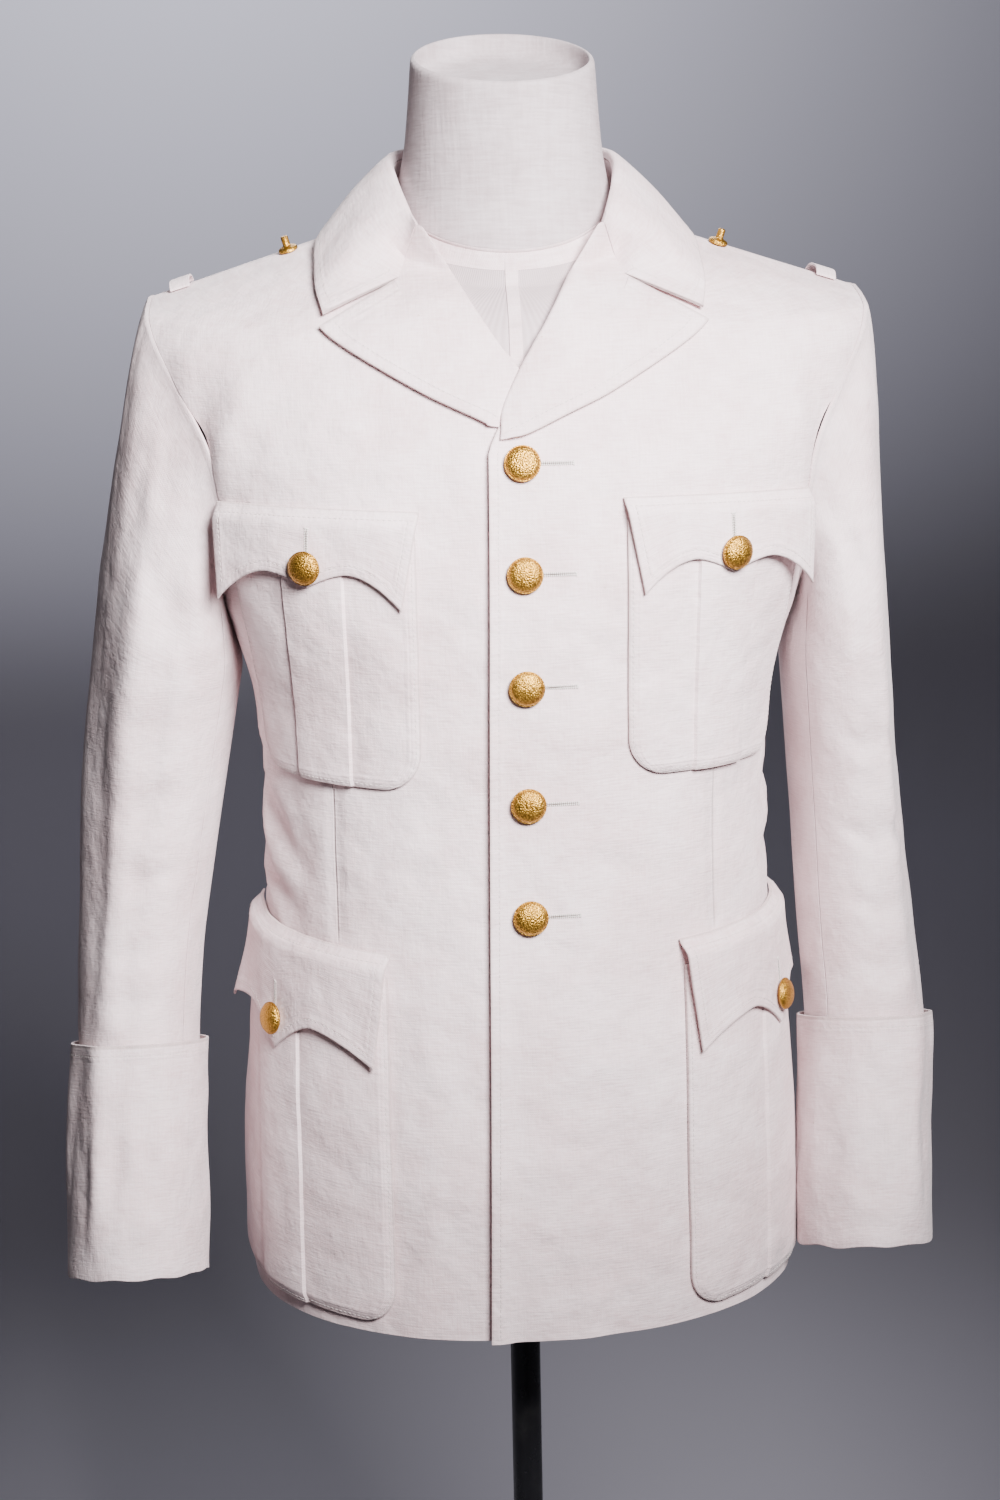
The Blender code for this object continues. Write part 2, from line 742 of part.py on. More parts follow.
def pocket_out(pocket, across, up, outside):
    """How far a pocket's cloth stands out of the panel under it."""
    width, pleat = pocket["width"], pocket["pleat"]
    edge = min(across, width - across, up)
    rise = pocket["stand"] * soft_step(edge, 0.0, pocket["edge"] * 1.3)
    if not outside:
        return LAID + rise
    fold = (width - pleat) / 2
    inside = min(across - fold, width - fold - across)
    pleated = PLEAT_RISE if inside > -1e-6 else 0.0
    return LAID + rise + pocket["cloth"] + pleated


def build_pocket(pocket, side, name):
    places, rises = pocket_columns(pocket), pocket_rows(pocket)
    width, corner = pocket["width"], pocket["round"]
    fold = (width - pocket["pleat"]) / 2 - PLEAT_STEP

    def place(column, row, outside):
        across, up = places[column], rises[row]
        inset = corner - math.sqrt(max(0.0, corner ** 2 - max(0.0, corner - up) ** 2))
        out = pocket_out(pocket, across, up, outside)
        if across < fold:
            across = inset + across * (fold - inset) / fold
        elif across > width - fold:
            across = width - inset - (width - across) * (fold - inset) / fold
        low = pocket["slope"][side] * (1 - across / width)
        return on_body(pocket["bottom"] + up - low, pocket["start"][side] + across, side, out)

    cloth(name, len(places) - 1, len(rises) - 1, place)


def flap_depth(flap, share):
    """Depth of a flap's scalloped edge; share is 0 at its middle point and 1 at its corners."""
    if share < ARCH_PLACE:
        return flap["arch"] + (flap["point"] - flap["arch"]) * (1 - share / ARCH_PLACE) ** 1.5
    out = (share - ARCH_PLACE) / (1 - ARCH_PLACE)
    return flap["arch"] + (flap["corner"] - flap["arch"]) * out ** 1.8


def flap_point(flap, share, down, side, outside):
    """share runs from the flap's front end to its back end, and down from its seam to its edge."""
    depth = down * flap_depth(flap, abs(2 * share - 1))
    taper = flap["taper"] * down * (1 - share) ** 2
    girth = flap["start"][side] + flap["width"] * share + taper
    top = flap["top"] - flap["slope"][side] * (1 - share)
    out = blend(LAID, flap["over"], soft_step(depth, 0.0, 0.010)) + (CLOTH if outside else 0)
    out += flap["flare"][side] * down * down * soft_step(share, 0.62, 1.0)
    lying = on_body(top - depth, girth, side, out)
    hanging = on_body(top, girth, side, out) - Vector((0, 0, depth))
    return lying.lerp(hanging, flap["hang"] * soft_step(share, 0.15, 0.95))


def build_flap(flap, side, name, columns=14, rows=4):
    downs = (0.0, 0.2, 0.45, 0.75, 1.0)

    def place(column, row, outside):
        return flap_point(flap, column / columns, downs[rows - row], side, outside)

    cloth(name, columns, rows, place)


def build_button(name, radius, point, normal):
    height = BUTTON_HEIGHT
    rim = 0.0016
    profile = [(0.0, height)]
    for angle in (30, 60, 82):
        turn = math.radians(angle)
        rise = (height - rim - 0.0016) * math.cos(turn)
        profile.append((radius * math.sin(turn), rim + 0.0016 + rise))
    profile += [(radius, rim + 0.0008), (radius * 0.9, rim), (0.0032, rim * 0.9), (0.0032, 0.0), (0.0, 0.0)]
    turned(name, profile, BUTTON_SIDES, GILT, facing(point + normal * SEAM, normal))


def build_front_buttons():
    for number, height in enumerate(BUTTON_HEIGHTS):
        ring = ring_through(0.0, height)
        point = on_body(ring, 0.0, LEFT, FRONT_LIFT)
        build_button(f"button_front_{number + 1}", FRONT_BUTTON_RADIUS, point, ring_normal(ring, 0.0))


def build_flap_button(flap, side, name):
    down = flap["button"] / flap["point"]
    point = flap_point(flap, 0.5, down, side, True)
    along = flap_point(flap, 0.53, down, side, True) - flap_point(flap, 0.47, down, side, True)
    up = flap_point(flap, 0.5, down - 0.1, side, True) - flap_point(flap, 0.5, down + 0.1, side, True)
    normal = along.cross(up).normalized() * side
    build_button(name, POCKET_BUTTON_RADIUS, point + normal * 0.0004, normal)


def ridge(across):
    """The shoulder seam's point and normal at a distance from the middle."""
    low, high = SHOULDER, NECKLINE
    for _ in range(24):
        middle = (low + high) / 2
        if section(round(middle, 6))[0] > across:
            low = middle
        else:
            high = middle
    return ring_point(low, math.pi / 2), ring_normal(low, math.pi / 2)


def build_stud(side, word):
    """A gilt post on a small oblong plate that takes a shoulder board's screw."""
    point, normal = ridge(STUD_ACROSS)
    profile = [
        (0.0, 0.0090), (0.0018, 0.0090), (0.0023, 0.0084), (0.0023, 0.0034), (0.0036, 0.0028),
        (0.0060, 0.0014), (0.0060, 0.0), (0.0, 0.0),
    ]
    place = facing(mirrored(point + normal * 0.0006, side), mirrored(normal, side))
    turned("stud_" + word, profile, 10, GILT, place)


def build_loop(side, word):
    """A cloth strap across the shoulder that the end of a shoulder board slips through."""
    columns, rows = 8, 2

    def place(column, row, outside):
        share = 2 * column / columns - 1
        across = LOOP_ACROSS + LOOP_WIDTH * (row / rows - 0.5)
        lift = LAID + 0.0030 * (1 - share ** 4) + (0.0014 if outside else 0.0)
        return mirrored(over_shoulder(across, LOOP_MIDDLE + LOOP_REACH * share, lift), side)

    cloth("loop_" + word, columns, rows, place)


# The dress form: how far it is inside the tunic, and how wide it is where the arms are left off
FORM_INSET_COLUMNS = "height inset"
FORM_INSET = (
    (0.838, 0.0120),
    (1.000, 0.0100),
    (1.140, 0.0090),
    (1.300, 0.0095),
    (1.400, 0.0070),
    (1.445, 0.0030),
    (1.450, 0.0024),
    (1.492, 0.0024),
)
FORM_SHOULDER_BULGE = 0.010
FORM_ROWS = (
    0.838, 0.885, 0.945, 1.010, 1.080, 1.140, 1.200, 1.262, 1.305, 1.350, 1.395, 1.420, 1.438,
    1.450, 1.455, 1.4625, 1.470, 1.478, 1.485, 1.4905,
)
NECK_COLUMNS = "centre_y centre_z half_width half_depth lean_degrees"
NECK = (
    (-0.0020, 1.5065, 0.0632, 0.0690, 30.0),
    (-0.0022, 1.5080, 0.0652, 0.0712, 30.0),
    (-0.0028, 1.5115, 0.0646, 0.0706, 29.5),
    (-0.0055, 1.5320, 0.0605, 0.0660, 27.0),
    (-0.0095, 1.5570, 0.0577, 0.0626, 23.5),
    (-0.0135, 1.5800, 0.0557, 0.0602, 20.5),
    (-0.0142, 1.5850, 0.0550, 0.0594, 20.0),
    (-0.0144, 1.5866, 0.0535, 0.0579, 20.0),
    (-0.0142, 1.5862, 0.0520, 0.0563, 20.0),
    (-0.0132, 1.5770, 0.0505, 0.0548, 20.0),
    (-0.0128, 1.5735, 0.0440, 0.0480, 20.0),
)


def form_width(height):
    """The form's half width: inside the tunic, and cut off upright where an arm would start."""
    half_width = section(round(height, 6))[0]
    if ARMPIT < height < SHOULDER:
        shoulder = math.sin(math.pi * (height - ARMPIT) / (SHOULDER - ARMPIT))
        cut = read_table(ARMHOLE, height)[0] + FORM_SHOULDER_BULGE * shoulder
        half_width = min(half_width, cut)
    return half_width


def form_point(column, row):
    angle = 2 * math.pi * column / FORM_SIDES
    if row < len(FORM_ROWS):
        height = FORM_ROWS[row]
        inset = read_table(FORM_INSET, height)[0]
        half_width = section(round(height, 6))[0]
        point = ring_point(height, angle) - ring_normal(height, angle) * inset
        limit = (form_width(height) - inset) / (half_width - inset)
        return Vector((point.x * min(1.0, limit), point.y, point.z))
    centre_y, centre_z, half_width, half_depth, lean = NECK[row - len(FORM_ROWS)]
    ahead = half_depth * math.cos(angle)
    lean = math.radians(lean)
    return Vector((
        half_width * math.sin(angle),
        centre_y - ahead * math.cos(lean),
        centre_z - ahead * math.sin(lean),
    ))


def build_form():
    lofted("form_torso", FORM_SIDES, len(FORM_ROWS) + len(NECK) - 1, form_point, LINEN)


def build_stand():
    top = FORM_BOTTOM - SEAM
    foot = BASE_HEIGHT + 0.018
    plate = top - 0.005
    turned("stand_plate", [(0.0, top), (0.045, top), (0.045, plate), (0.0, plate)], 20, BLACK)
    turned(
        "stand_pole",
        [
            (0.0, plate - SEAM), (POLE_RADIUS, plate - SEAM),
            (POLE_RADIUS, foot + SEAM), (0.0, foot + SEAM),
        ],
        20,
        BLACK,
    )
    turned(
        "stand_base",
        [
            (0.0, foot), (0.017, foot), (0.022, foot - 0.004), (0.030, BASE_HEIGHT + 0.003),
            (BASE_RADIUS - 0.030, BASE_HEIGHT), (BASE_RADIUS - 0.004, BASE_HEIGHT - 0.003),
            (BASE_RADIUS, BASE_HEIGHT - 0.007), (BASE_RADIUS, 0.0), (0.0, 0.0),
        ],
        40,
        BLACK,
    )


for left_over in list(bpy.data.objects):
    bpy.data.objects.remove(left_over)
PARTS = bpy.data.collections.new("tunic_on_dress_form")
bpy.context.scene.collection.children.link(PARTS)

for side, word in ((LEFT, "left"), (RIGHT, "right")):
    build_front(side, "front_" + word)
    build_back(side, "back_" + word)
    build_sleeve(side, word)
    build_cuff(side, word)
    build_lapel(side, word)
    build_pocket(CHEST, side, "pocket_chest_" + word)
    build_pocket(WAIST, side, "pocket_waist_" + word)
    build_flap(CHEST_FLAP, side, "flap_chest_" + word)
    build_flap(WAIST_FLAP, side, "flap_waist_" + word)
    build_flap_button(CHEST_FLAP, side, "button_chest_" + word)
    build_flap_button(WAIST_FLAP, side, "button_waist_" + word)
    build_stud(side, word)
    build_loop(side, word)
build_collar_fall()
build_collar_stand()
build_front_buttons()
build_form()
build_stand()
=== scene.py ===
"""A white summer service tunic on a limbless dress form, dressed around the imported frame.

Metres, +Z up. The tunic faces -Y, and "left" and "right" are the wearer's own: left is at +X.
"""

import bisect
import functools
import json
import math
import random

import bmesh
import bpy
from mathutils import Matrix, Vector, noise

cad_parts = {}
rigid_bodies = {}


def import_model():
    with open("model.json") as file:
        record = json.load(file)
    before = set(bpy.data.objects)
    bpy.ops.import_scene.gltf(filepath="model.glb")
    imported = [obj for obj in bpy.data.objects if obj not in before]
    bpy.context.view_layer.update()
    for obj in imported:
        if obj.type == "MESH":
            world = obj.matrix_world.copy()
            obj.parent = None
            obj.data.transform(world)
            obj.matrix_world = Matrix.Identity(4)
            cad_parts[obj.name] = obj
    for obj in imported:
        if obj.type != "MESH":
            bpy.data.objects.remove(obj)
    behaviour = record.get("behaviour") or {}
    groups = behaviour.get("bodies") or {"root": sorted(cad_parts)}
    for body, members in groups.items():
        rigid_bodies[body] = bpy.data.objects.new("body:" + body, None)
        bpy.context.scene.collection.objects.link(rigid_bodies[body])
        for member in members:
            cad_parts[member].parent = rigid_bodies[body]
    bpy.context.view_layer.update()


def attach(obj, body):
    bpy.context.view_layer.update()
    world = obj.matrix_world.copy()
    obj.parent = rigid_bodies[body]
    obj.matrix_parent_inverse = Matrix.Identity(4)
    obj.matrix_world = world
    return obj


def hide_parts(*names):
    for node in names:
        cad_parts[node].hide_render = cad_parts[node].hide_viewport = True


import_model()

LEFT, RIGHT = 1, -1
WORDS = {LEFT: "left", RIGHT: "right"}


def link(made):
    bpy.context.scene.collection.objects.link(made)
    return made


# Camera: where the photograph was taken from

CAMERA_TURN = math.radians(-3.5)
CAMERA_DISTANCE = 1.400
CAMERA_HEIGHT = 1.432
CAMERA_PITCH = math.radians(10.95)
CAMERA_ROLL = math.radians(1.1)
FOCAL_LENGTH = 53.33
FRAME_SHIFT = -14 / 1500


def place_camera():
    data = bpy.data.cameras.new("camera")
    data.sensor_width = 36
    data.lens = FOCAL_LENGTH
    data.shift_x = FRAME_SHIFT
    data.clip_start = 0.05
    camera = link(bpy.data.objects.new("camera", data))
    ahead = Vector((-math.sin(CAMERA_TURN), math.cos(CAMERA_TURN), 0)) * math.cos(CAMERA_PITCH)
    ahead.z = -math.sin(CAMERA_PITCH)
    across = Vector((math.cos(CAMERA_TURN), math.sin(CAMERA_TURN), 0))
    up = across.cross(ahead)
    tilted_up = up * math.cos(CAMERA_ROLL) + across * math.sin(CAMERA_ROLL)
    tilted_across = across * math.cos(CAMERA_ROLL) - up * math.sin(CAMERA_ROLL)
    turn = Matrix((tilted_across, tilted_up, -ahead)).transposed().to_4x4()
    place = Vector((
        math.sin(CAMERA_TURN) * CAMERA_DISTANCE,
        -math.cos(CAMERA_TURN) * CAMERA_DISTANCE,
        CAMERA_HEIGHT,
    ))
    camera.matrix_world = Matrix.Translation(place) @ turn
    bpy.context.scene.camera = camera


place_camera()

# The tunic's measures, the same as the frame's

CLOTH = 0.0018
SEAM = 0.0003
LAID = 0.0008
OVERLAPS = ((0.826, 0.0290), (1.086, 0.0235), (1.358, 0.0190))
FRONT_LIFT = CLOTH + LAID

HEM = 0.826
ARMPIT = 1.262
SHOULDER = 1.450
NECKLINE = 1.4905
BREAK = 1.358

# height, half width, front, back, squareness, front drop, back rise
BODY = (
    (0.826, 0.178, 0.148, 0.126, 2.20, 0.000, 0.000),
    (0.900, 0.176, 0.146, 0.127, 2.20, 0.000, 0.000),
    (0.980, 0.171, 0.140, 0.121, 2.20, 0.000, 0.000),
    (1.080, 0.161, 0.129, 0.107, 2.20, 0.000, 0.000),
    (1.140, 0.159, 0.127, 0.105, 2.20, 0.000, 0.000),
    (1.200, 0.163, 0.129, 0.110, 2.20, 0.000, 0.000),
    (1.262, 0.178, 0.132, 0.118, 2.30, 0.000, 0.000),
    (1.300, 0.192, 0.131, 0.121, 2.35, 0.000, 0.000),
    (1.350, 0.208, 0.126, 0.121, 2.40, 0.002, 0.000),
    (1.400, 0.226, 0.112, 0.113, 2.35, 0.010, 0.003),
    (1.430, 0.235, 0.101, 0.104, 2.30, 0.017, 0.007),
    (1.445, 0.230, 0.095, 0.098, 2.25, 0.021, 0.010),
    (1.450, 0.216, 0.093, 0.096, 2.20, 0.022, 0.011),
    (1.4625, 0.176, 0.087, 0.090, 2.15, 0.026, 0.013),
    (1.478, 0.125, 0.078, 0.082, 2.10, 0.032, 0.015),
    (1.492, 0.078, 0.067, 0.072, 2.00, 0.038, 0.017),
)
ARMHOLE = (
    (1.262, 0.178),
    (1.300, 0.173),
    (1.350, 0.178),
    (1.400, 0.197),
    (1.430, 0.210),
    (1.445, 0.215),
    (1.450, 0.216),
)
ARMHOLE_ROWS = (1.262, 1.267, 1.282, 1.305, 1.335, 1.365, 1.395, 1.420, 1.438, 1.447, 1.450)
SHOULDER_ROWS = (1.455, 1.4625, 1.470, 1.478, 1.485, NECKLINE)
HEM_STEPS = 72
FINE = 5

# height, centre x, centre y, half width, half depth, lean
SLEEVES = {
    LEFT: (
        (1.215, 0.2085, 0.006, 0.0335, 0.076, 0.00),
        (1.165, 0.2128, 0.008, 0.0340, 0.072, 0.04),
        (1.100, 0.2180, 0.004, 0.0355, 0.065, 0.12),
        (1.040, 0.2215, -0.008, 0.0372, 0.059, 0.20),
        (0.990, 0.2235, -0.023, 0.0375, 0.055, 0.26),
        (0.915, 0.2190, -0.049, 0.0385, 0.051, 0.30),
        (0.851, 0.2150, -0.071, 0.0400, 0.049, 0.31),
    ),
    RIGHT: (
        (1.215, 0.2180, 0.006, 0.0460, 0.072, 0.00),
        (1.165, 0.2260, 0.008, 0.0445, 0.068, 0.04),
        (1.100, 0.2345, 0.004, 0.0410, 0.063, 0.12),
        (1.040, 0.2415, -0.008, 0.0385, 0.058, 0.20),
        (0.990, 0.2445, -0.023, 0.0378, 0.055, 0.26),
        (0.915, 0.2465, -0.049, 0.0395, 0.051, 0.30),
        (0.851, 0.2475, -0.071, 0.0412, 0.049, 0.31),
    ),
}
CAP_FULLNESS = {LEFT: 0.25, RIGHT: 0.42}
HALF_WAY = len(ARMHOLE_ROWS) - 1
ROUND = 2 * HALF_WAY
FRONT_SEAM, BACK_SEAM = 2, 18
CAP_STEPS = 34
ARM_STEPS = 84
CUFF_TOP = 0.985
CUFF_STEPS = 34

ROLL = (
    (0.055, -0.056, 1.484),
    (0.061, -0.044, 1.499),
    (0.067, -0.024, 1.516),
    (0.0695, 0.006, 1.531),
    (0.060, 0.042, 1.538),
    (0.036, 0.068, 1.541),
    (0.000, 0.076, 1.542),
)
FALL = (
    (0.1105, -0.0785),
    (0.1140, -0.0605),
    (0.1148, -0.0370),
    (0.1130, -0.0050),
    (0.1005, 0.0430),
    (0.0600, 0.0800),
    (0.0000, 0.0885),
)
FALL_CLEAR = 0.0042
NOTCH = (0.066, 1.4535)
LAPEL_TIP = (0.113, 1.428)
CROSSING = (0.000, 1.398)
LAPEL_EDGE = ((0.023, 1.3750), (0.051, 1.3885), (0.080, 1.4050), (0.102, 1.4190))
UNDER_LAPEL_END = (0.0135, 1.3715)
LAPEL_END = (-0.0112, 1.3640)
LAPEL_CLOTH = 0.0020
ROLL_RISE = 0.0035
FREE_FORWARD = 0.25
FREE_SOFTNESS = 0.006

CHEST = {
    "start": {LEFT: 0.060, RIGHT: 0.062}, "width": 0.125, "slope": {LEFT: 0.0, RIGHT: 0.006},
    "top": 1.318, "bottom": 1.167, "round": 0.024,
    "pleat": 0.038, "stand": 0.0012, "cloth": 0.0016, "edge": 0.004,
}
WAIST = {
    "start": {LEFT: 0.096, RIGHT: 0.087}, "width": 0.168, "slope": {LEFT: 0.008, RIGHT: 0.008},
    "top": 1.056, "bottom": 0.841, "round": 0.024,
    "pleat": 0.040, "stand": 0.0026, "cloth": 0.0022, "edge": 0.006,
}
CHEST_FLAP = {
    "start": {LEFT: 0.0575, RIGHT: 0.059}, "width": 0.128, "slope": {LEFT: 0.0, RIGHT: 0.006},
    "taper": 0.011, "top": 1.332, "corner": 0.057, "arch": 0.0375, "point": 0.046,
    "flare": {LEFT: 0.0, RIGHT: 0.0},
    "over": 0.0054, "hang": 0.85, "button": 0.034,
}
WAIST_FLAP = {
    "start": {LEFT: 0.092, RIGHT: 0.084}, "width": 0.162, "slope": {LEFT: 0.008, RIGHT: 0.010},
    "taper": 0.010, "top": 1.072, "corner": 0.069, "arch": 0.053, "point": 0.073,
    "flare": {LEFT: 0.004, RIGHT: 0.008},
    "over": 0.0086, "hang": 0.10, "button": 0.055,
}
ARCH_PLACE = 0.42

BUTTON_HEIGHTS = (1.351, 1.2886, 1.2232, 1.1532, 1.0854)
FRONT_BUTTON_RADIUS = 0.0105
POCKET_BUTTON_RADIUS = 0.0100
BUTTON_HEIGHT = 0.0072
STUD_ACROSS = 0.132
LOOP_ACROSS = 0.198
LOOP_WIDTH = 0.012
LOOP_MIDDLE = 0.010
LOOP_REACH = 0.018
POLE_RADIUS = 0.0100
BASE_RADIUS = 0.190
BASE_HEIGHT = 0.012


# Reading the measures

def curve_slopes(rows, column):
    steps = [(b[column] - a[column]) / (b[0] - a[0]) for a, b in zip(rows, rows[1:])]
    inner = [0.0 if a * b <= 0 else 2 * a * b / (a + b) for a, b in zip(steps, steps[1:])]
    return [steps[0], *inner, steps[-1]]


@functools.lru_cache(maxsize=None)
def table_curve(rows):
    return [None] + [curve_slopes(rows, column) for column in range(1, len(rows[0]))]


def read_table(rows, at):
    """The other columns of a table, read smoothly at a value of its first column."""
    if rows[0][0] > rows[-1][0]:
        rows = rows[::-1]
    slopes = table_curve(rows)
    at = min(max(at, rows[0][0]), rows[-1][0])
    i = min(max(bisect.bisect_right([row[0] for row in rows], at) - 1, 0), len(rows) - 2)
    low, high = rows[i], rows[i + 1]
    span = high[0] - low[0]
    t = (at - low[0]) / span
    rise = t * t * (3 - 2 * t)
    start, end = t * (1 - t) ** 2 * span, t * t * (t - 1) * span
    return [
        low[c] * (1 - rise) + high[c] * rise + slopes[c][i] * start + slopes[c][i + 1] * end
        for c in range(1, len(low))
    ]


def soft_step(value, start, end):
    """0 before start, 1 after end, and smooth between them."""
    t = min(max((value - start) / (end - start), 0.0), 1.0)
    return t * t * (3 - 2 * t)


def blend(a, b, share):
    return a + (b - a) * share


def curve(before, a, b, after, t):
    """A smooth curve from a to b, which are numbers or points, with those before and after them."""
    return 0.5 * (
        2 * a + (b - before) * t
        + (2 * before - 5 * a + 4 * b - after) * t * t
        + (3 * a - before - 3 * b + after) * t ** 3
    )


def search(low, high, steps, is_low):
    """A range halved again and again round the place where is_low(place) turns false."""
    for _ in range(steps):
        middle = (low + high) / 2
        if is_low(middle):
            low = middle
        else:
            high = middle
    return low, high


@functools.lru_cache(maxsize=None)
def section(height):
    return read_table(BODY, height)


def ring_point(height, angle):
    """A point of the tunic's outside; angle 0 is the middle of the front."""
    half_width, front, back, squareness, drop, rise = section(round(height, 6))
    power = 2 / squareness
    across = math.copysign(abs(math.sin(angle)) ** power, math.sin(angle))
    ahead = math.copysign(abs(math.cos(angle)) ** power, math.cos(angle))
    if ahead > 0:
        return Vector((half_width * across, -front * ahead, height - drop * ahead))
    return Vector((half_width * across, -back * ahead, height - rise * ahead))


def ring_normal(height, angle):
    step = 0.002
    around = ring_point(height, angle + step) - ring_point(height, angle - step)
    up = ring_point(height + step, angle) - ring_point(height - step, angle)
    return around.cross(up).normalized()


GIRTH_STEPS = 90
GIRTH_STRIDE = 0.001


@functools.lru_cache(maxsize=None)
def girth_ring(number):
    height = number * GIRTH_STRIDE
    points = [ring_point(height, math.pi * i / GIRTH_STEPS) for i in range(GIRTH_STEPS + 1)]
    run = [0.0]
    for a, b in zip(points, points[1:]):
        run.append(run[-1] + (b - a).length)
    return run


@functools.lru_cache(maxsize=4096)
def girth_run(height):
    """Distances round one side of a ring from the middle of the front, at even angles."""
    place = height / GIRTH_STRIDE
    number = math.floor(place)
    share = place - number
    return [blend(a, b, share) for a, b in zip(girth_ring(number), girth_ring(number + 1))]


def angle_at(height, girth):
    run = girth_run(round(height, 5))
    distance = min(abs(girth), run[-1])
    i = min(max(bisect.bisect_right(run, distance) - 1, 0), GIRTH_STEPS - 1)
    share = (distance - run[i]) / (run[i + 1] - run[i])
    return math.copysign(math.pi * (i + share) / GIRTH_STEPS, girth)


def girth_at(height, angle):
    run = girth_run(round(height, 5))
    place = angle / math.pi * GIRTH_STEPS
    i = min(int(place), GIRTH_STEPS - 1)
    return blend(run[i], run[i + 1], place - i)


# Creases: each is a line of (girth, height) points, how wide it is and how far it goes out or in.
# Girths go round the body from the middle of the front, and are negative on the wearer's right.

BODY_CREASES = (
    # Down from the shoulders
    (((-0.178, 1.424), (-0.196, 1.372), (-0.204, 1.320), (-0.200, 1.285)), 0.011, -0.0032),
    (((-0.158, 1.420), (-0.176, 1.365), (-0.186, 1.330)), 0.010, 0.0016),
    (((0.176, 1.420), (0.196, 1.370), (0.203, 1.320), (0.198, 1.288)), 0.012, -0.0026),
    (((0.158, 1.415), (0.178, 1.362)), 0.010, 0.0014),
    # Across the waist, at the sides
    (((-0.236, 1.162), (-0.205, 1.148), (-0.176, 1.128), (-0.152, 1.106)), 0.0075, -0.0044),
    (((-0.254, 1.132), (-0.226, 1.113), (-0.196, 1.094), (-0.160, 1.080)), 0.0065, -0.0046),
    (((-0.256, 1.176), (-0.236, 1.170), (-0.212, 1.168)), 0.006, -0.0026),
    (((-0.160, 1.150), (-0.148, 1.122), (-0.144, 1.092)), 0.009, -0.0018),
    (((-0.246, 1.144), (-0.214, 1.130), (-0.184, 1.112)), 0.007, 0.0020),
    (((-0.262, 1.088), (-0.236, 1.082), (-0.206, 1.080)), 0.007, -0.0022),
    (((0.238, 1.156), (0.208, 1.146), (0.184, 1.130)), 0.008, -0.0024),
    (((0.250, 1.128), (0.220, 1.116), (0.190, 1.098)), 0.008, -0.0026),
    (((0.244, 1.142), (0.212, 1.130), (0.186, 1.114)), 0.007, 0.0016),
    # Beside the front edge and between the buttons
    (((-0.030, 1.258), (-0.052, 1.250), (-0.075, 1.236)), 0.009, -0.0010),
    (((0.036, 1.188), (0.060, 1.172), (0.088, 1.152)), 0.010, -0.0010),
    (((-0.028, 1.118), (-0.052, 1.112), (-0.080, 1.102)), 0.009, -0.0012),
    (((0.034, 1.120), (0.064, 1.108), (0.096, 1.094)), 0.009, -0.0010),
    # Long soft folds of the skirt
    (((-0.060, 1.020), (-0.064, 0.940), (-0.070, 0.830)), 0.018, 0.0018),
    (((0.062, 1.010), (0.068, 0.930), (0.074, 0.830)), 0.018, 0.0016),
    (((-0.268, 1.060), (-0.272, 0.960), (-0.276, 0.826)), 0.020, 0.0030),
    (((0.270, 1.060), (0.276, 0.950), (0.280, 0.826)), 0.020, 0.0028),
    # The back: across the shoulder blades, the waist, and the skirt's folds
    (((0.300, 1.330), (0.345, 1.300), (0.392, 1.286)), 0.014, -0.0026),
    (((-0.296, 1.334), (-0.340, 1.306), (-0.390, 1.290)), 0.014, -0.0028),
    (((0.288, 1.170), (0.322, 1.150), (0.362, 1.142)), 0.009, -0.0030),
    (((0.284, 1.132), (0.326, 1.118), (0.376, 1.116)), 0.008, -0.0030),
    (((0.296, 1.150), (0.338, 1.134), (0.384, 1.130)), 0.008, 0.0018),
    (((0.292, 1.094), (0.326, 1.086), (0.356, 1.088)), 0.008, -0.0020),
    (((-0.284, 1.166), (-0.320, 1.152), (-0.366, 1.140)), 0.009, -0.0028),
    (((-0.288, 1.128), (-0.330, 1.120), (-0.382, 1.120)), 0.008, -0.0032),
    (((-0.298, 1.148), (-0.342, 1.136), (-0.388, 1.134)), 0.008, 0.0018),
    (((-0.290, 1.092), (-0.330, 1.084), (-0.362, 1.086)), 0.008, -0.0020),
    (((0.330, 1.050), (0.338, 0.950), (0.350, 0.826)), 0.018, 0.0032),
    (((0.376, 1.060), (0.388, 0.960), (0.398, 0.826)), 0.016, -0.0030),
    (((-0.334, 1.050), (-0.344, 0.950), (-0.356, 0.826)), 0.018, 0.0034),
    (((-0.384, 1.056), (-0.396, 0.960), (-0.404, 0.826)), 0.016, -0.0028),
    (((0.262, 1.300), (0.250, 1.250), (0.246, 1.206)), 0.012, -0.0026),
    (((-0.262, 1.300), (-0.250, 1.250), (-0.244, 1.206)), 0.012, -0.0028),
)

# Creases of the sleeves and cuffs have (degrees, height) points. The degrees go round the arm from
# the side that faces the body, and 90 is the front.

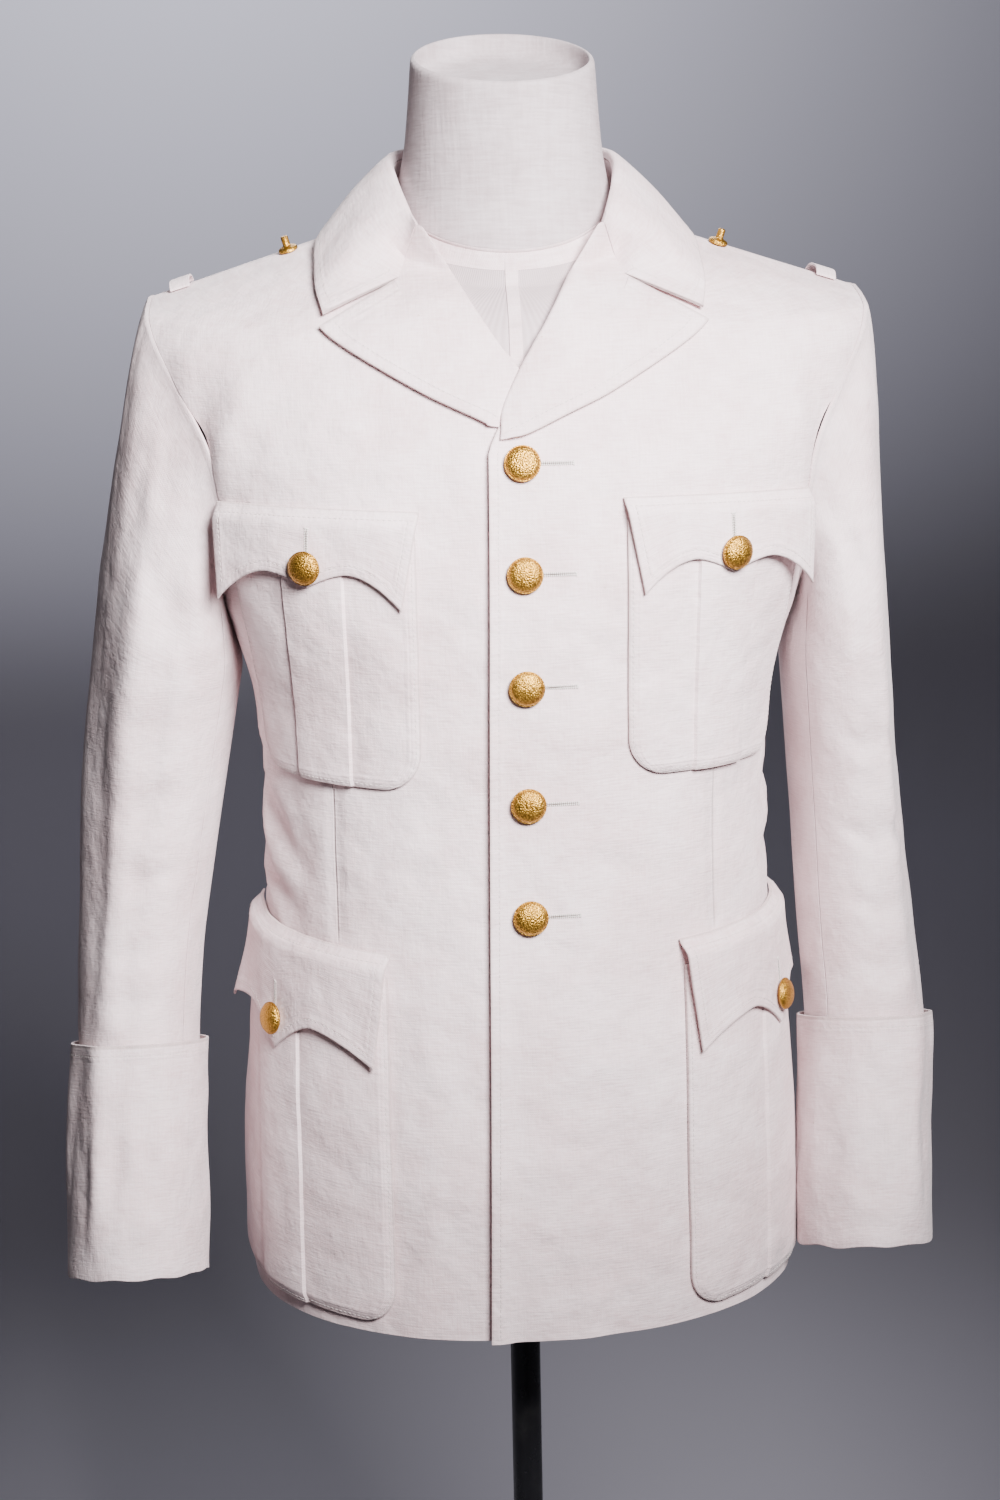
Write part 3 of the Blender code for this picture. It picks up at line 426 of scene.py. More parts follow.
SLEEVE_CREASES = {
    RIGHT: (
        (((104, 1.360), (122, 1.344), (136, 1.322)), 0.009, -0.0020),
        (((92, 1.262), (112, 1.296), (124, 1.330)), 0.009, -0.0026),
        (((64, 1.222), (84, 1.262), (96, 1.302)), 0.009, -0.0022),
        (((70, 1.150), (92, 1.138), (110, 1.142)), 0.010, -0.0016),
        (((60, 1.096), (86, 1.088), (106, 1.094)), 0.008, -0.0022),
        (((66, 1.120), (90, 1.110), (108, 1.118)), 0.008, 0.0012),
        (((62, 1.050), (86, 1.040), (106, 1.042)), 0.008, -0.0018),
        (((64, 1.012), (88, 1.008), (110, 1.012)), 0.007, -0.0014),
        (((114, 1.370), (113, 1.280), (112, 1.170), (113, 1.060), (114, 0.960)), 0.010, 0.0030),
        (((146, 1.350), (146, 1.240), (145, 1.100), (145, 0.960)), 0.020, -0.0016),
        (((184, 1.340), (184, 1.200), (183, 1.100), (183, 0.990)), 0.024, 0.0040),
        (((86, 1.330), (88, 1.200), (88, 1.080), (88, 0.960)), 0.015, -0.0022),
        (((200, 1.310), (216, 1.272), (238, 1.240)), 0.010, -0.0030),
        (((212, 1.180), (240, 1.160), (268, 1.156)), 0.009, -0.0030),
        (((206, 1.120), (236, 1.106), (270, 1.110), (298, 1.122)), 0.009, -0.0030),
        (((210, 1.146), (240, 1.132), (268, 1.134)), 0.008, 0.0020),
        (((214, 1.066), (244, 1.056), (276, 1.062)), 0.008, -0.0022),
    ),
    LEFT: (
        (((72, 1.330), (92, 1.296), (104, 1.256)), 0.010, -0.0024),
        (((66, 1.176), (92, 1.166), (122, 1.174)), 0.009, -0.0020),
        (((62, 1.112), (94, 1.100), (126, 1.106), (156, 1.122)), 0.008, -0.0026),
        (((66, 1.136), (96, 1.126), (128, 1.134)), 0.008, 0.0014),
        (((62, 1.064), (94, 1.054), (126, 1.058)), 0.008, -0.0022),
        (((64, 1.020), (98, 1.014), (130, 1.020)), 0.007, -0.0016),
        (((118, 1.360), (117, 1.240), (116, 1.110), (117, 0.960)), 0.010, 0.0026),
        (((150, 1.350), (149, 1.220), (148, 1.080), (148, 0.960)), 0.017, -0.0032),
        (((202, 1.306), (218, 1.270), (240, 1.236)), 0.010, -0.0028),
        (((210, 1.176), (238, 1.158), (266, 1.152)), 0.009, -0.0028),
        (((208, 1.116), (238, 1.104), (268, 1.106), (296, 1.118)), 0.009, -0.0030),
        (((212, 1.142), (242, 1.130), (270, 1.132)), 0.008, 0.0018),
        (((214, 1.062), (246, 1.054), (276, 1.060)), 0.008, -0.0022),
    ),
}
CUFF_CREASES = {
    RIGHT: (
        (((114, 0.999), (113, 0.950), (114, 0.900), (113, 0.836)), 0.010, 0.0034),
        (((147, 0.999), (147, 0.900), (147, 0.836)), 0.017, -0.0034),
        (((70, 0.975), (78, 0.940), (74, 0.900)), 0.009, -0.0022),
        (((96, 0.930), (104, 0.900), (100, 0.868)), 0.008, -0.0018),
        (((60, 0.884), (84, 0.872), (110, 0.862)), 0.008, 0.0014),
        (((230, 0.970), (250, 0.930), (246, 0.880)), 0.010, -0.0020),
    ),
    LEFT: (
        (((118, 0.999), (117, 0.930), (118, 0.836)), 0.010, 0.0028),
        (((150, 0.999), (150, 0.930), (150, 0.836)), 0.017, -0.0030),
        (((74, 0.968), (84, 0.930), (80, 0.886)), 0.010, -0.0018),
        (((104, 0.950), (112, 0.914), (108, 0.880)), 0.008, -0.0016),
        (((58, 0.878), (90, 0.866), (122, 0.872)), 0.008, 0.0012),
        (((226, 0.960), (244, 0.920), (240, 0.870)), 0.010, -0.0020),
    ),
}
CREASE_REACH = 3.0
SLEEVE_DEGREE = 0.00095
ROUND_ARM = 360 * SLEEVE_DEGREE


def in_metres(creases_by_arm):
    """Creases round an arm with their degrees turned into metres."""
    return {
        arm: tuple(
            (tuple((degrees * SLEEVE_DEGREE, height) for degrees, height in line), width, depth)
            for line, width, depth in creases
        )
        for arm, creases in creases_by_arm.items()
    }


@functools.lru_cache(maxsize=None)
def crease_box(line, width):
    reach = width * CREASE_REACH
    xs, ys = [p[0] for p in line], [p[1] for p in line]
    return min(xs) - reach, max(xs) + reach, min(ys) - reach, max(ys) + reach


def crease_at(creases, x, y, wrap=0.0):
    """How far creased cloth goes out at a place. wrap is the way round a closed sheet."""
    total = 0.0
    for number, (line, width, depth) in enumerate(creases):
        low_x, high_x, low_y, high_y = crease_box(line, width)
        if not low_y < y < high_y:
            continue
        for turn in ((0.0, wrap, -wrap) if wrap else (0.0,)):
            at = x + turn
            if not low_x < at < high_x:
                continue
            nearest, along = 1e9, 0.0
            count = len(line) - 1
            for i in range(count):
                (ax, ay), (bx, by) = line[i], line[i + 1]
                dx, dy = bx - ax, by - ay
                t = min(max(((at - ax) * dx + (y - ay) * dy) / (dx * dx + dy * dy), 0.0), 1.0)
                gap = math.hypot(at - ax - dx * t, y - ay - dy * t)
                if gap < nearest:
                    nearest, along = gap, (i + t) / count
            wide = width * (0.75 + 0.5 * along) * (1 + 0.25 * math.sin(9 * along + number * 2.1))
            fade = math.sin(math.pi * min(max(0.06 + 0.88 * along, 0), 1)) ** 0.7
            near = math.exp(-(nearest / wide) ** 2)
            beside = math.exp(-((nearest - 1.9 * wide) / wide) ** 2)
            total += depth * fade * (near - 0.32 * beside)
    return total


def ripple(x, y, z, size):
    """The slight unevenness of cloth that has been worn and pressed."""
    return noise.noise(Vector((x, y, z)) / size)


@functools.lru_cache(maxsize=200000)
def body_crease(girth, height):
    way_round = 2 * girth_run(round(height, 5))[-1]
    low = crease_at(BODY_CREASES, girth, height, way_round)
    place = ring_point(height, angle_at(height, girth))
    uneven = 0.0007 * ripple(*place, 0.045) + 0.0004 * ripple(*place, 0.017)
    firm = 1 - soft_step(height, 1.395, 1.440)
    return (low + uneven) * firm


def on_body(height, girth, side, out, seam_angle=None):
    """A point of the creased cloth at a girth, moved out of it."""
    angle = angle_at(height, girth)
    normal = ring_normal(height, angle if seam_angle is None else seam_angle)
    crease = body_crease(round(side * girth, 5), round(height, 5))
    point = ring_point(height, angle) + normal * (out + crease)
    return mirrored(point, side)


def ahead_share(height, across):
    """How far ahead a ring still is at a distance across: 1 in the middle, 0 at its side."""
    half_width, _, _, squareness, _, _ = section(round(height, 6))
    return max(0.0, 1 - min(1.0, across / half_width) ** squareness) ** (1 / squareness)


def angle_across(height, across):
    """The angle at which a ring is a distance from the middle."""
    half_width, _, _, squareness, _, _ = section(round(height, 6))
    return math.asin(min(1.0, across / half_width) ** (squareness / 2))


def ring_through(across, height_there):
    """The ring whose front passes a place given by its distance across and its height."""
    def is_low(ring):
        drop = section(round(ring, 6))[4]
        return ring - drop * ahead_share(ring, across) < height_there

    low, high = search(height_there - 0.03, min(height_there + 0.06, NECKLINE), 26, is_low)
    return (low + high) / 2


def on_face(across, height, side, out):
    """A point of the front as seen square on, moved out of the cloth."""
    ring = ring_through(abs(across), height)
    angle = angle_across(ring, abs(across))
    girth = math.copysign(girth_at(ring, angle), across)
    angle = math.copysign(angle, across)
    crease = body_crease(round(side * girth, 5), round(ring, 5))
    point = ring_point(ring, angle) + ring_normal(ring, angle) * (out + crease)
    return mirrored(point, side)


def above_neckline(across, height):
    """How far a place of the lapel, seen square on, is above the body panels' neckline."""
    drop = section(NECKLINE)[4]
    return height - (NECKLINE - drop * ahead_share(NECKLINE, abs(across)))


def on_chest(across, height, side, out):
    """A point of the front, or of the lapel that stands free above the neckline."""
    point = on_face(across, height, side, out)
    above = above_neckline(across, height)
    free = (above + math.hypot(above, FREE_SOFTNESS)) / 2
    return point + Vector((0.0, -FREE_FORWARD * free, max(above, 0.0)))


def over_shoulder(across, along, out):
    """A point of the shoulders above a place in plan, moved out of the cloth."""
    def is_low(ring):
        half_width, front, back, squareness, _, _ = section(round(ring, 6))
        depth = front if along < 0 else back
        return (across / half_width) ** squareness + (abs(along) / depth) ** squareness < 1

    low, _ = search(1.40, NECKLINE, 26, is_low)
    angle = angle_across(low, across)
    angle = angle if along < 0 else math.pi - angle
    return ring_point(low, angle) + ring_normal(low, angle) * out


def mirrored(point, side):
    return Vector((side * point.x, point.y, point.z))


def armhole_angle(height):
    return angle_across(height, read_table(ARMHOLE, height)[0])


def outer_angle(height, back):
    angle = armhole_angle(height) if ARMPIT < height < SHOULDER else math.pi / 2
    return math.pi - angle if back else angle


# Materials

TWILL_PITCH = 0.0011
FLECKS_A_METRE = 42.0
STITCH_LINE = 0.0052
DART_GIRTH, DART_FOOT, DART_TOP = 0.1210, 1.062, 1.180
DART_SHADE = (0.46, 0.36, 0.34)
# The colour of the painted shadow line along stitched edges:
EDGE_SHADOW_PAINT = (0.47, 0.37, 0.35)
FLECK = (0.42, 0.30, 0.20)
COTTON_PALE = (0.870, 0.742, 0.750)
COTTON_DEEP = (0.690, 0.515, 0.518)
PAPER_PALE, PAPER_DEEP = (0.590, 0.512, 0.524), (0.425, 0.345, 0.350)
JERSEY_PALE, JERSEY_DEEP = (0.555, 0.462, 0.470), (0.435, 0.350, 0.356)
GILT_PALE, GILT_DEEP = (0.60, 0.335, 0.053), (0.20, 0.085, 0.012)
ENAMEL_BLACK, ENAMEL_DUST = (0.012, 0.012, 0.014), (0.06, 0.058, 0.055)
# The dark bead laid along each buttonhole slit is painted shadow of the slit's opening.
THREAD_WHITE, SLIT_SHADOW_COLOUR = (0.80, 0.74, 0.70), (0.10, 0.07, 0.055)
FLOOR_PALE = (0.42, 0.41, 0.46)
PEBBLES_A_METRE = 1150.0
RIB_PITCH = 0.0026
NECK_FOOT = 0.150


class Signal:
    """A value or a colour on its way through a material, with arithmetic."""

    def __init__(self, tree, socket):
        self.tree, self.socket = tree, socket

    def node(self, kind, settings=None, inputs=None, output=0):
        made = self.tree.nodes.new(kind)
        for name, value in (settings or {}).items():
            setattr(made, name, value)
        for name, value in (inputs or {}).items():
            if isinstance(value, Signal):
                self.tree.links.new(value.socket, made.inputs[name])
            else:
                made.inputs[name].default_value = value
        return Signal(self.tree, made.outputs[output])

    def other(self, output):
        """Another output of the node that this signal comes from."""
        return Signal(self.tree, self.socket.node.outputs[output])

    def colour(self, shade):
        made = self.node("ShaderNodeRGB")
        made.socket.default_value = (*shade, 1.0)
        return made

    def solid_place(self):
        return self.node("ShaderNodeTexCoord", {}, output="Object")

    def maths(self, operation, *values):
        inputs = dict(enumerate((self, *values)))
        return self.node("ShaderNodeMath", {"operation": operation}, inputs)

    def __add__(self, other):
        return self.maths("ADD", other)

    def __sub__(self, other):
        return self.maths("SUBTRACT", other)

    def __mul__(self, other):
        return self.maths("MULTIPLY", other)

    def __rsub__(self, other):
        return (self * -1.0) + other

    __radd__ = __add__
    __rmul__ = __mul__

    def over(self, low, high):
        """0 below low, 1 above high, and smooth between."""
        return self.node(
            "ShaderNodeMapRange", {"interpolation_type": "SMOOTHSTEP"},
            {"Value": self, "From Min": low, "From Max": high},
        )

    def noise(self, scale, stretch=(1.0, 1.0, 1.0), detail=2.0, roughness=0.5):
        place = self.node("ShaderNodeMapping", {}, {"Vector": self, "Scale": stretch})
        return self.node(
            "ShaderNodeTexNoise", {},
            {"Vector": place, "Scale": scale, "Detail": detail, "Roughness": roughness},
        )

    def mix(self, other, share):
        """This colour going over to another one."""
        maker = self.node("ShaderNodeMix", {"data_type": "RGBA"}, {"Factor": share}).socket.node
        colours = [socket for socket in maker.inputs if socket.type == "RGBA"]
        for socket, value in zip(colours, (self, other)):
            if isinstance(value, Signal):
                self.tree.links.new(value.socket, socket)
            else:
                socket.default_value = (*value, 1.0)
        return Signal(self.tree, [socket for socket in maker.outputs if socket.type == "RGBA"][0])


def new_material(name, **fixed):
    """A material, its shader and a signal to build from, with fixed values on the sockets."""
    made = bpy.data.materials.new(name)
    made.use_nodes = True
    shader = made.node_tree.nodes["Principled BSDF"]
    for socket, value in fixed.items():
        shader.inputs[socket.replace("_", " ")].default_value = value
    return made, shader, Signal(made.node_tree, None)


def feed(shader, signal, socket):
    signal.tree.links.new(signal.socket, shader.inputs[socket])


def feed_height(shader, height):
    bump = height.node("ShaderNodeBump", {}, {"Height": height, "Distance": 1.0, "Strength": 1.0})
    feed(shader, bump, "Normal")


def make_cotton(name, pale, deep, stitched, darted=False):
    """Cotton twill: weave, slubs, small seed flecks, soft mottling and edge-stitch grooves."""
    made, shader, start = new_material(
        name, Sheen_Weight=0.20, Sheen_Roughness=0.45, Specular_IOR_Level=0.25,
    )
    lying = start.node("ShaderNodeUVMap", {"uv_map": "cloth"})
    solid = start.solid_place()
    apart = start.node("ShaderNodeSeparateXYZ", {}, {"Vector": lying})
    u = apart
    v = apart.other("Y")
    twill = ((u + v) * (2 * math.pi / TWILL_PITCH)).maths("SINE")
    slub_across = lying.noise(1.0, (80.0, 900.0, 1.0), 2.0)
    slub_along = lying.noise(1.0, (900.0, 70.0, 1.0), 2.0)
    slubs = slub_across * 0.6 + slub_along * 0.4
    clouds = solid.noise(11.0, detail=4.0, roughness=0.55)
    mottle = clouds * 0.6 + solid.noise(46.0, detail=3.0) * 0.4
    specks = lying.node("ShaderNodeTexVoronoi", {}, {"Vector": lying, "Scale": FLECKS_A_METRE})
    chosen = specks.node("ShaderNodeSeparateColor", {}, {"Color": specks.other("Color")})
    fleck = (1.0 - specks.over(0.012, 0.030)) * chosen.over(0.45, 0.60)
    tone = slubs.over(0.36, 0.66) * 0.42 + mottle.over(0.36, 0.66) * 0.50
    tone = tone + (twill * 0.5 + 0.5) * 0.08
    colour = start.colour(pale).mix(deep, tone).mix(FLECK, fleck * 0.50)
    small_rumple = solid.noise(52.0, detail=3.0, roughness=0.55)
    rumple = small_rumple * 0.0022 + solid.noise(17.0, detail=2.0) * 0.0062
    weft = lying.noise(1.0, (2600.0, 900.0, 1.0), 1.0)
    threads = weft + lying.noise(1.0, (900.0, 2600.0, 1.0), 1.0)
    height = twill * 0.00003 + slubs * 0.00046 + threads * 0.00012 + rumple
    if stitched:
        edge = start.node("ShaderNodeAttribute", {"attribute_name": "edge"}, {}, output="Fac")
        off = (edge - STITCH_LINE).maths("ABSOLUTE")
        groove = 1.0 - off.over(0.0001, 0.0010)
        rolled = 1.0 - edge.over(0.0000, 0.0016)
        pucker = lying.noise(1.0, (260.0, 260.0, 1.0), 1.0)
        turned_in = 1.0 - edge.over(STITCH_LINE + 0.0008, STITCH_LINE + 0.0035)
        height = height - groove * 0.00012 - rolled * 0.0003
        height = height + turned_in * (pucker * 0.0005 + 0.00005)
        # Painted shade: the stitch groove is darkened a little, and the outer 1.3 mm of each
        # stitched edge is darkened as a painted shadow line.
        rim = 1.0 - edge.over(0.0002, 0.0013)
        colour = colour.mix(deep, groove * 0.10).mix(EDGE_SHADOW_PAINT, rim * 0.55)
    if darted:
        beside = (u.maths("ABSOLUTE") - DART_GIRTH).maths("ABSOLUTE")
        reach = v.over(DART_FOOT, DART_FOOT + 0.010) * (1.0 - v.over(DART_TOP - 0.010, DART_TOP))
        dart = (1.0 - beside.over(0.0001, 0.0011)) * reach
        drawn = (1.0 - beside.over(0.0010, 0.0090)) * reach
        height = height - dart * 0.00060 - drawn * 0.0011
        colour = colour.mix(DART_SHADE, dart * 0.55)
    feed(shader, colour, "Base Color")
    feed(shader, slubs * 0.12 + 0.76, "Roughness")
    feed_height(shader, height)
    return made


def make_form_cover():
    """Ribbed jersey on the torso, and brushed, painted paper on the neck above it."""
    made, shader, start = new_material("form_cover", Sheen_Weight=0.1, Specular_IOR_Level=0.25)
    lying = start.node("ShaderNodeUVMap", {"uv_map": "cloth"})
    solid = start.solid_place()
    apart = start.node("ShaderNodeSeparateXYZ", {}, {"Vector": lying})
    neck = apart.other("Y").over(NECK_FOOT - 0.002, NECK_FOOT + 0.002)
    ribs = (apart * (2 * math.pi / RIB_PITCH)).maths("SINE") * 0.5 + 0.5
    mottle = solid.noise(30.0, detail=4.0, roughness=0.6)
    strokes = solid.noise(1.0, (60.0, 60.0, 520.0), 3.0)
    brushed = strokes * 0.6 + solid.noise(1.0, (420.0, 420.0, 40.0), 3.0) * 0.4
    worn_jersey = ribs * 0.55 + mottle.over(0.35, 0.70) * 0.45
    jersey = start.colour(JERSEY_PALE).mix(JERSEY_DEEP, worn_jersey)
    worn_paper = brushed.over(0.38, 0.64) * 0.40 + mottle.over(0.36, 0.68) * 0.45
    paper = start.colour(PAPER_PALE).mix(PAPER_DEEP, worn_paper)
    feed(shader, jersey.mix(paper, neck), "Base Color")
    feed(shader, mottle * 0.15 + 0.70, "Roughness")
    feed_height(shader, (1.0 - neck) * ribs * 0.00016 + neck * brushed * 0.0007 + mottle * 0.0008)
    return made


def make_gilt():
    made, shader, start = new_material("gilt_metal", Metallic=1.0)
    solid = start.solid_place()
    cells = start.node(
        "ShaderNodeTexVoronoi", {"feature": "SMOOTH_F1"},
        {"Vector": solid, "Scale": PEBBLES_A_METRE, "Smoothness": 0.5},
    )
    grain = solid.noise(900.0, detail=3.0)
    worn = solid.noise(90.0, detail=3.0)
    dark = cells.over(0.25, 0.80) * 0.45 + worn.over(0.35, 0.75) * 0.35
    feed(shader, start.colour(GILT_PALE).mix(GILT_DEEP, dark), "Base Color")
    feed(shader, worn * 0.18 + 0.34, "Roughness")
    feed_height(shader, cells * -0.00040 + grain * 0.00005)
    return made


def make_enamel():
    made, shader, start = new_material("black_enamel", Coat_Roughness=0.12, Metallic=0.2)
    solid = start.solid_place()
    orange_peel = solid.noise(240.0, detail=2.0)
    dust = solid.noise(38.0, detail=4.0)
    dusty = start.colour(ENAMEL_BLACK).mix(ENAMEL_DUST, dust.over(0.52, 0.80) * 0.6)
    feed(shader, dusty, "Base Color")
    feed(shader, dust * 0.22 + 0.18, "Roughness")
    feed_height(shader, orange_peel * 0.00004)
    return made


def make_thread(name, colour):
    made, shader, start = new_material(name, Sheen_Weight=0.1)
    solid = start.solid_place()
    twist = solid.noise(1800.0, detail=1.0)
    darker = tuple(channel * 0.72 for channel in colour)
    feed(shader, start.colour(colour).mix(darker, twist), "Base Color")
    feed(shader, twist * 0.2 + 0.6, "Roughness")
    return made


COTTON = make_cotton("cotton_twill", COTTON_PALE, COTTON_DEEP, False)
EDGED = make_cotton("cotton_twill_stitched", COTTON_PALE, COTTON_DEEP, True)
FRONT_CLOTH = make_cotton("cotton_twill_darted", COTTON_PALE, COTTON_DEEP, True, darted=True)
FORM_COVER = make_form_cover()
TAPE = make_cotton("cotton_tape", COTTON_PALE, COTTON_DEEP, False)
THREAD = make_thread("sewing_thread", THREAD_WHITE)
PAINTED_SLIT_SHADOW = make_thread("slit_shadow", SLIT_SHADOW_COLOUR)
GILT = make_gilt()
ENAMEL = make_enamel()


# Making pieces

FAR = 1.0

# Where each kind of piece lies on the flat cloth, so that no two have the same threads
BACK_LIES, ARM_LIES, CUFF_LIES = 2.0, 4.0, 8.0
LAPEL_LIES, FALL_LIES, COLLAR_STAND_LIES = 12.0, 14.0, 16.0
POCKET_LIES, FLAP_LIES, LOOP_LIES = 18.0, 22.0, 26.0
FORM_LIES, TAPE_LIES, BAND_LIES = 30.0, 34.0, 36.0


def keep(name, mesh, finish, nodes=()):
    made = link(bpy.data.objects.new(name, mesh))
    mesh.materials.append(finish)
    mesh.shade_smooth()
    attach(made, "root")
    if nodes:
        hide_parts(*nodes)
    return made


def cloth(
    name, node, columns, rows, place, lie,
    finish=COTTON, closed=False, edge=None, fold=0.0006,
):
    """A wall of cloth: a grid is bent to its inside and its faces are raised to its outside.

    place(column, row, outside) gives a point, lie(column, row) its place on the flat cloth, and
    edge(column, row) its distance from a stitched edge.
    """
    sheet = bmesh.new()
    bmesh.ops.create_grid(sheet, x_segments=columns, y_segments=rows, size=0.5)
    flat = sheet.loops.layers.uv.new("cloth")
    column = sheet.verts.layers.int.new("column")
    row = sheet.verts.layers.int.new("row")
    margin = sheet.verts.layers.float.new("edge")
    for vertex in sheet.verts:
        vertex[column] = round((vertex.co.x + 0.5) * columns)
        vertex[row] = round((vertex.co.y + 0.5) * rows)
        vertex[margin] = edge(vertex[column], vertex[row]) if edge else FAR
    for face in sheet.faces:
        for loop in face.loops:
            loop[flat].uv = lie(loop.vert[column], loop.vert[row])
    for vertex in sheet.verts:
        vertex.co = place(vertex[column], vertex[row], False)
    if closed:
        bmesh.ops.remove_doubles(sheet, verts=sheet.verts, dist=1e-6)
    raised = bmesh.ops.extrude_face_region(sheet, geom=sheet.faces[:])
    for vertex in raised["geom"]:
        if isinstance(vertex, bmesh.types.BMVert):
            vertex.co = place(vertex[column], vertex[row], True)
    return finished(name, sheet, finish, (node,) if node else (), fold)


def finished(name, skin, finish, nodes=(), fold=0.0):
    """A mesh made into a piece, with its folded edges rounded."""
    bmesh.ops.recalc_face_normals(skin, faces=skin.faces)
    if skin.calc_volume(signed=True) < 0:
        bmesh.ops.reverse_faces(skin, faces=skin.faces)
    mesh = bpy.data.meshes.new(name)
    skin.to_mesh(mesh)
    skin.free()
    made = keep(name, mesh, finish, nodes)
    if fold:
        rounded = made.modifiers.new("rounded_edges", "BEVEL")
        rounded.width = fold
        rounded.segments = 2
        rounded.limit_method = "ANGLE"
        rounded.angle_limit = math.radians(50)
        rounded.harden_normals = True
    return made


def spun(name, profile, steps, finish, nodes, place=None, sharp=None):
    """A round piece: a profile of (radius, height) down from the top of its axis, spun once."""
    skin = bmesh.new()
    points = [skin.verts.new((radius, 0.0, height)) for radius, height in profile]
    lines = [skin.edges.new(pair) for pair in zip(points, points[1:])]
    bmesh.ops.spin(
        skin, geom=[*points, *lines], axis=(0, 0, 1), cent=(0, 0, 0), angle=2 * math.pi,
        steps=steps, use_merge=True,
    )
    bmesh.ops.remove_doubles(skin, verts=skin.verts, dist=1e-6)
    bmesh.ops.dissolve_degenerate(skin, edges=skin.edges, dist=1e-7)
    if place:
        bmesh.ops.transform(skin, matrix=place, verts=skin.verts)
    made = finished(name, skin, finish, nodes)
    if sharp:
        made.data.set_sharp_from_angle(angle=math.radians(sharp))
    return made


def facing(point, normal):
    return Matrix.Translation(point) @ normal.to_track_quat("Z", "Y").to_matrix().to_4x4()


# Stitching

STITCH_PITCH = 0.0032
STITCH_LENGTH = 0.0025
STITCH_WIDTH = 0.00048
STITCH_HEIGHT = 0.00040


def add_stitch(
    threads, place, along, normal,
    length=STITCH_LENGTH, width=STITCH_WIDTH, height=STITCH_HEIGHT,
):
    """One stitch: a small bead of thread drawn along its seam."""
    along = along.normalized()
    across = normal.cross(along).normalized()
    up = along.cross(across)
    turn = Matrix((along, across, up)).transposed().to_4x4()
    size = Matrix.Diagonal((length / 2, width / 2, height / 2, 1.0))
    bmesh.ops.create_uvsphere(
        threads, u_segments=4, v_segments=4, radius=1.0,
        matrix=Matrix.Translation(place) @ turn @ size @ Matrix.Rotation(math.pi / 2, 4, "Y"),
    )


def sew(threads, surface, start, end, steps=160, pitch=STITCH_PITCH, length=STITCH_LENGTH):
    """A run of stitches along surface(t), which gives a point and the cloth's normal there."""
    points = [surface(blend(start, end, i / steps)) for i in range(steps + 1)]
    run, next_at = 0.0, pitch / 2
    for (a, normal), (b, _) in zip(points, points[1:]):
        reach = (b - a).length
        while reach > 1e-9 and next_at <= run + reach:
            share = (next_at - run) / reach
            add_stitch(threads, a.lerp(b, share), b - a, normal, length)
            next_at += pitch
        run += reach


def with_normal(point_at, x, y, step_x, step_y):
    """A point of a surface of two measures, and the way out of it, away from the body's middle."""
    point = point_at(x, y)
    along = point_at(x + step_x, y) - point_at(x - step_x, y)
    up = point_at(x, y + step_y) - point_at(x, y - step_y)
    normal = along.cross(up).normalized()
    if normal.dot(Vector((point.x, point.y, 0.0))) < 0:
        normal = -normal
    return point, normal


def threads_done(name, threads, finish=THREAD):
    finished(name, threads, finish)


# Body panels

def panel_heights():
    low = [blend(HEM, ARMPIT, i / HEM_STEPS) for i in range(HEM_STEPS)]
    arm = []
    for a, b in zip(ARMHOLE_ROWS, ARMHOLE_ROWS[1:]):
        arm += [blend(a, b, i / FINE) for i in range(FINE)]
    high = []
    for a, b in zip((SHOULDER, *SHOULDER_ROWS), SHOULDER_ROWS):
        high += [blend(a, b, i / 3) for i in range(3)]
    return [*low, *arm, *high, NECKLINE]


PANEL_HEIGHTS = panel_heights()


def roll_across(height):
    """How far across the front edge, or the roll line above it, is at a height seen square on."""
    if height < BREAK:
        return -read_table(OVERLAPS, height)[0]
    rows = ((BREAK, -OVERLAPS[-1][1]), CROSSING[::-1], (1.440, 0.0265), ROLL[0][::-2])
    return read_table(rows, height)[0]


def front_start(height):
    """The girth at which a front starts on a ring."""
    across = -OVERLAPS[-1][1]
    inside = 0.0
    for _ in range(8):
        drop = section(round(height, 6))[4]
        seen = height - drop * ahead_share(height, abs(across))
        inside = 0.003 * soft_step(seen, BREAK + 0.010, BREAK + 0.028)
        across = roll_across(seen)
    angle = angle_across(height, abs(across))
    return math.copysign(girth_at(height, angle), across) + inside


EDGE_STAND = 0.0036


def overlap_lift(girth, side):
    """How far the lapped front lies off the one below, a little more along its edge."""
    if side == RIGHT:
        return 0.0
    lapped = FRONT_LIFT * (1 - soft_step(girth, 0.026, 0.050))
    return lapped + EDGE_STAND * (1 - soft_step(girth, -0.025, -0.0105))


FRONT_COLUMNS = 58
BACK_COLUMNS = 40


def build_front(side):
    rows = len(PANEL_HEIGHTS) - 1
    starts = [front_start(height) for height in PANEL_HEIGHTS]
    seams = [outer_angle(height, False) for height in PANEL_HEIGHTS]

    def girth(column, row):
        height = PANEL_HEIGHTS[row]
        return blend(starts[row], girth_at(height, seams[row]) - SEAM / 2, column / FRONT_COLUMNS)

    def place(column, row, outside):
        height = PANEL_HEIGHTS[row]
        at = girth(column, row)
        out = overlap_lift(at, side) - (0 if outside else CLOTH)
        return on_body(height, at, side, out, seams[row] if column == FRONT_COLUMNS else None)

    def edge(column, row):
        height = PANEL_HEIGHTS[row]
        return min(girth(column, row) - starts[row], height - HEM + 0.012)

    cloth(
        "tunic_front_" + WORDS[side], "front_" + WORDS[side], FRONT_COLUMNS, rows, place,
        lambda column, row: (girth(column, row) * side, PANEL_HEIGHTS[row]),
        finish=FRONT_CLOTH, edge=edge,
    )


def sew_front(side):
    """Edge stitching down the front edge, or down the under front's edge inside the lap."""
    threads = bmesh.new()

    def surface(height):
        def at(girth, level):
            return on_body(level, girth, side, overlap_lift(girth, side) + 0.0001)

        return with_normal(at, front_start(height) + STITCH_LINE, height, 0.002, 0.002)

    sew(threads, surface, HEM + 0.004, 1.376 if side == LEFT else 1.355, 200)
    threads_done("stitching_front_" + WORDS[side], threads)


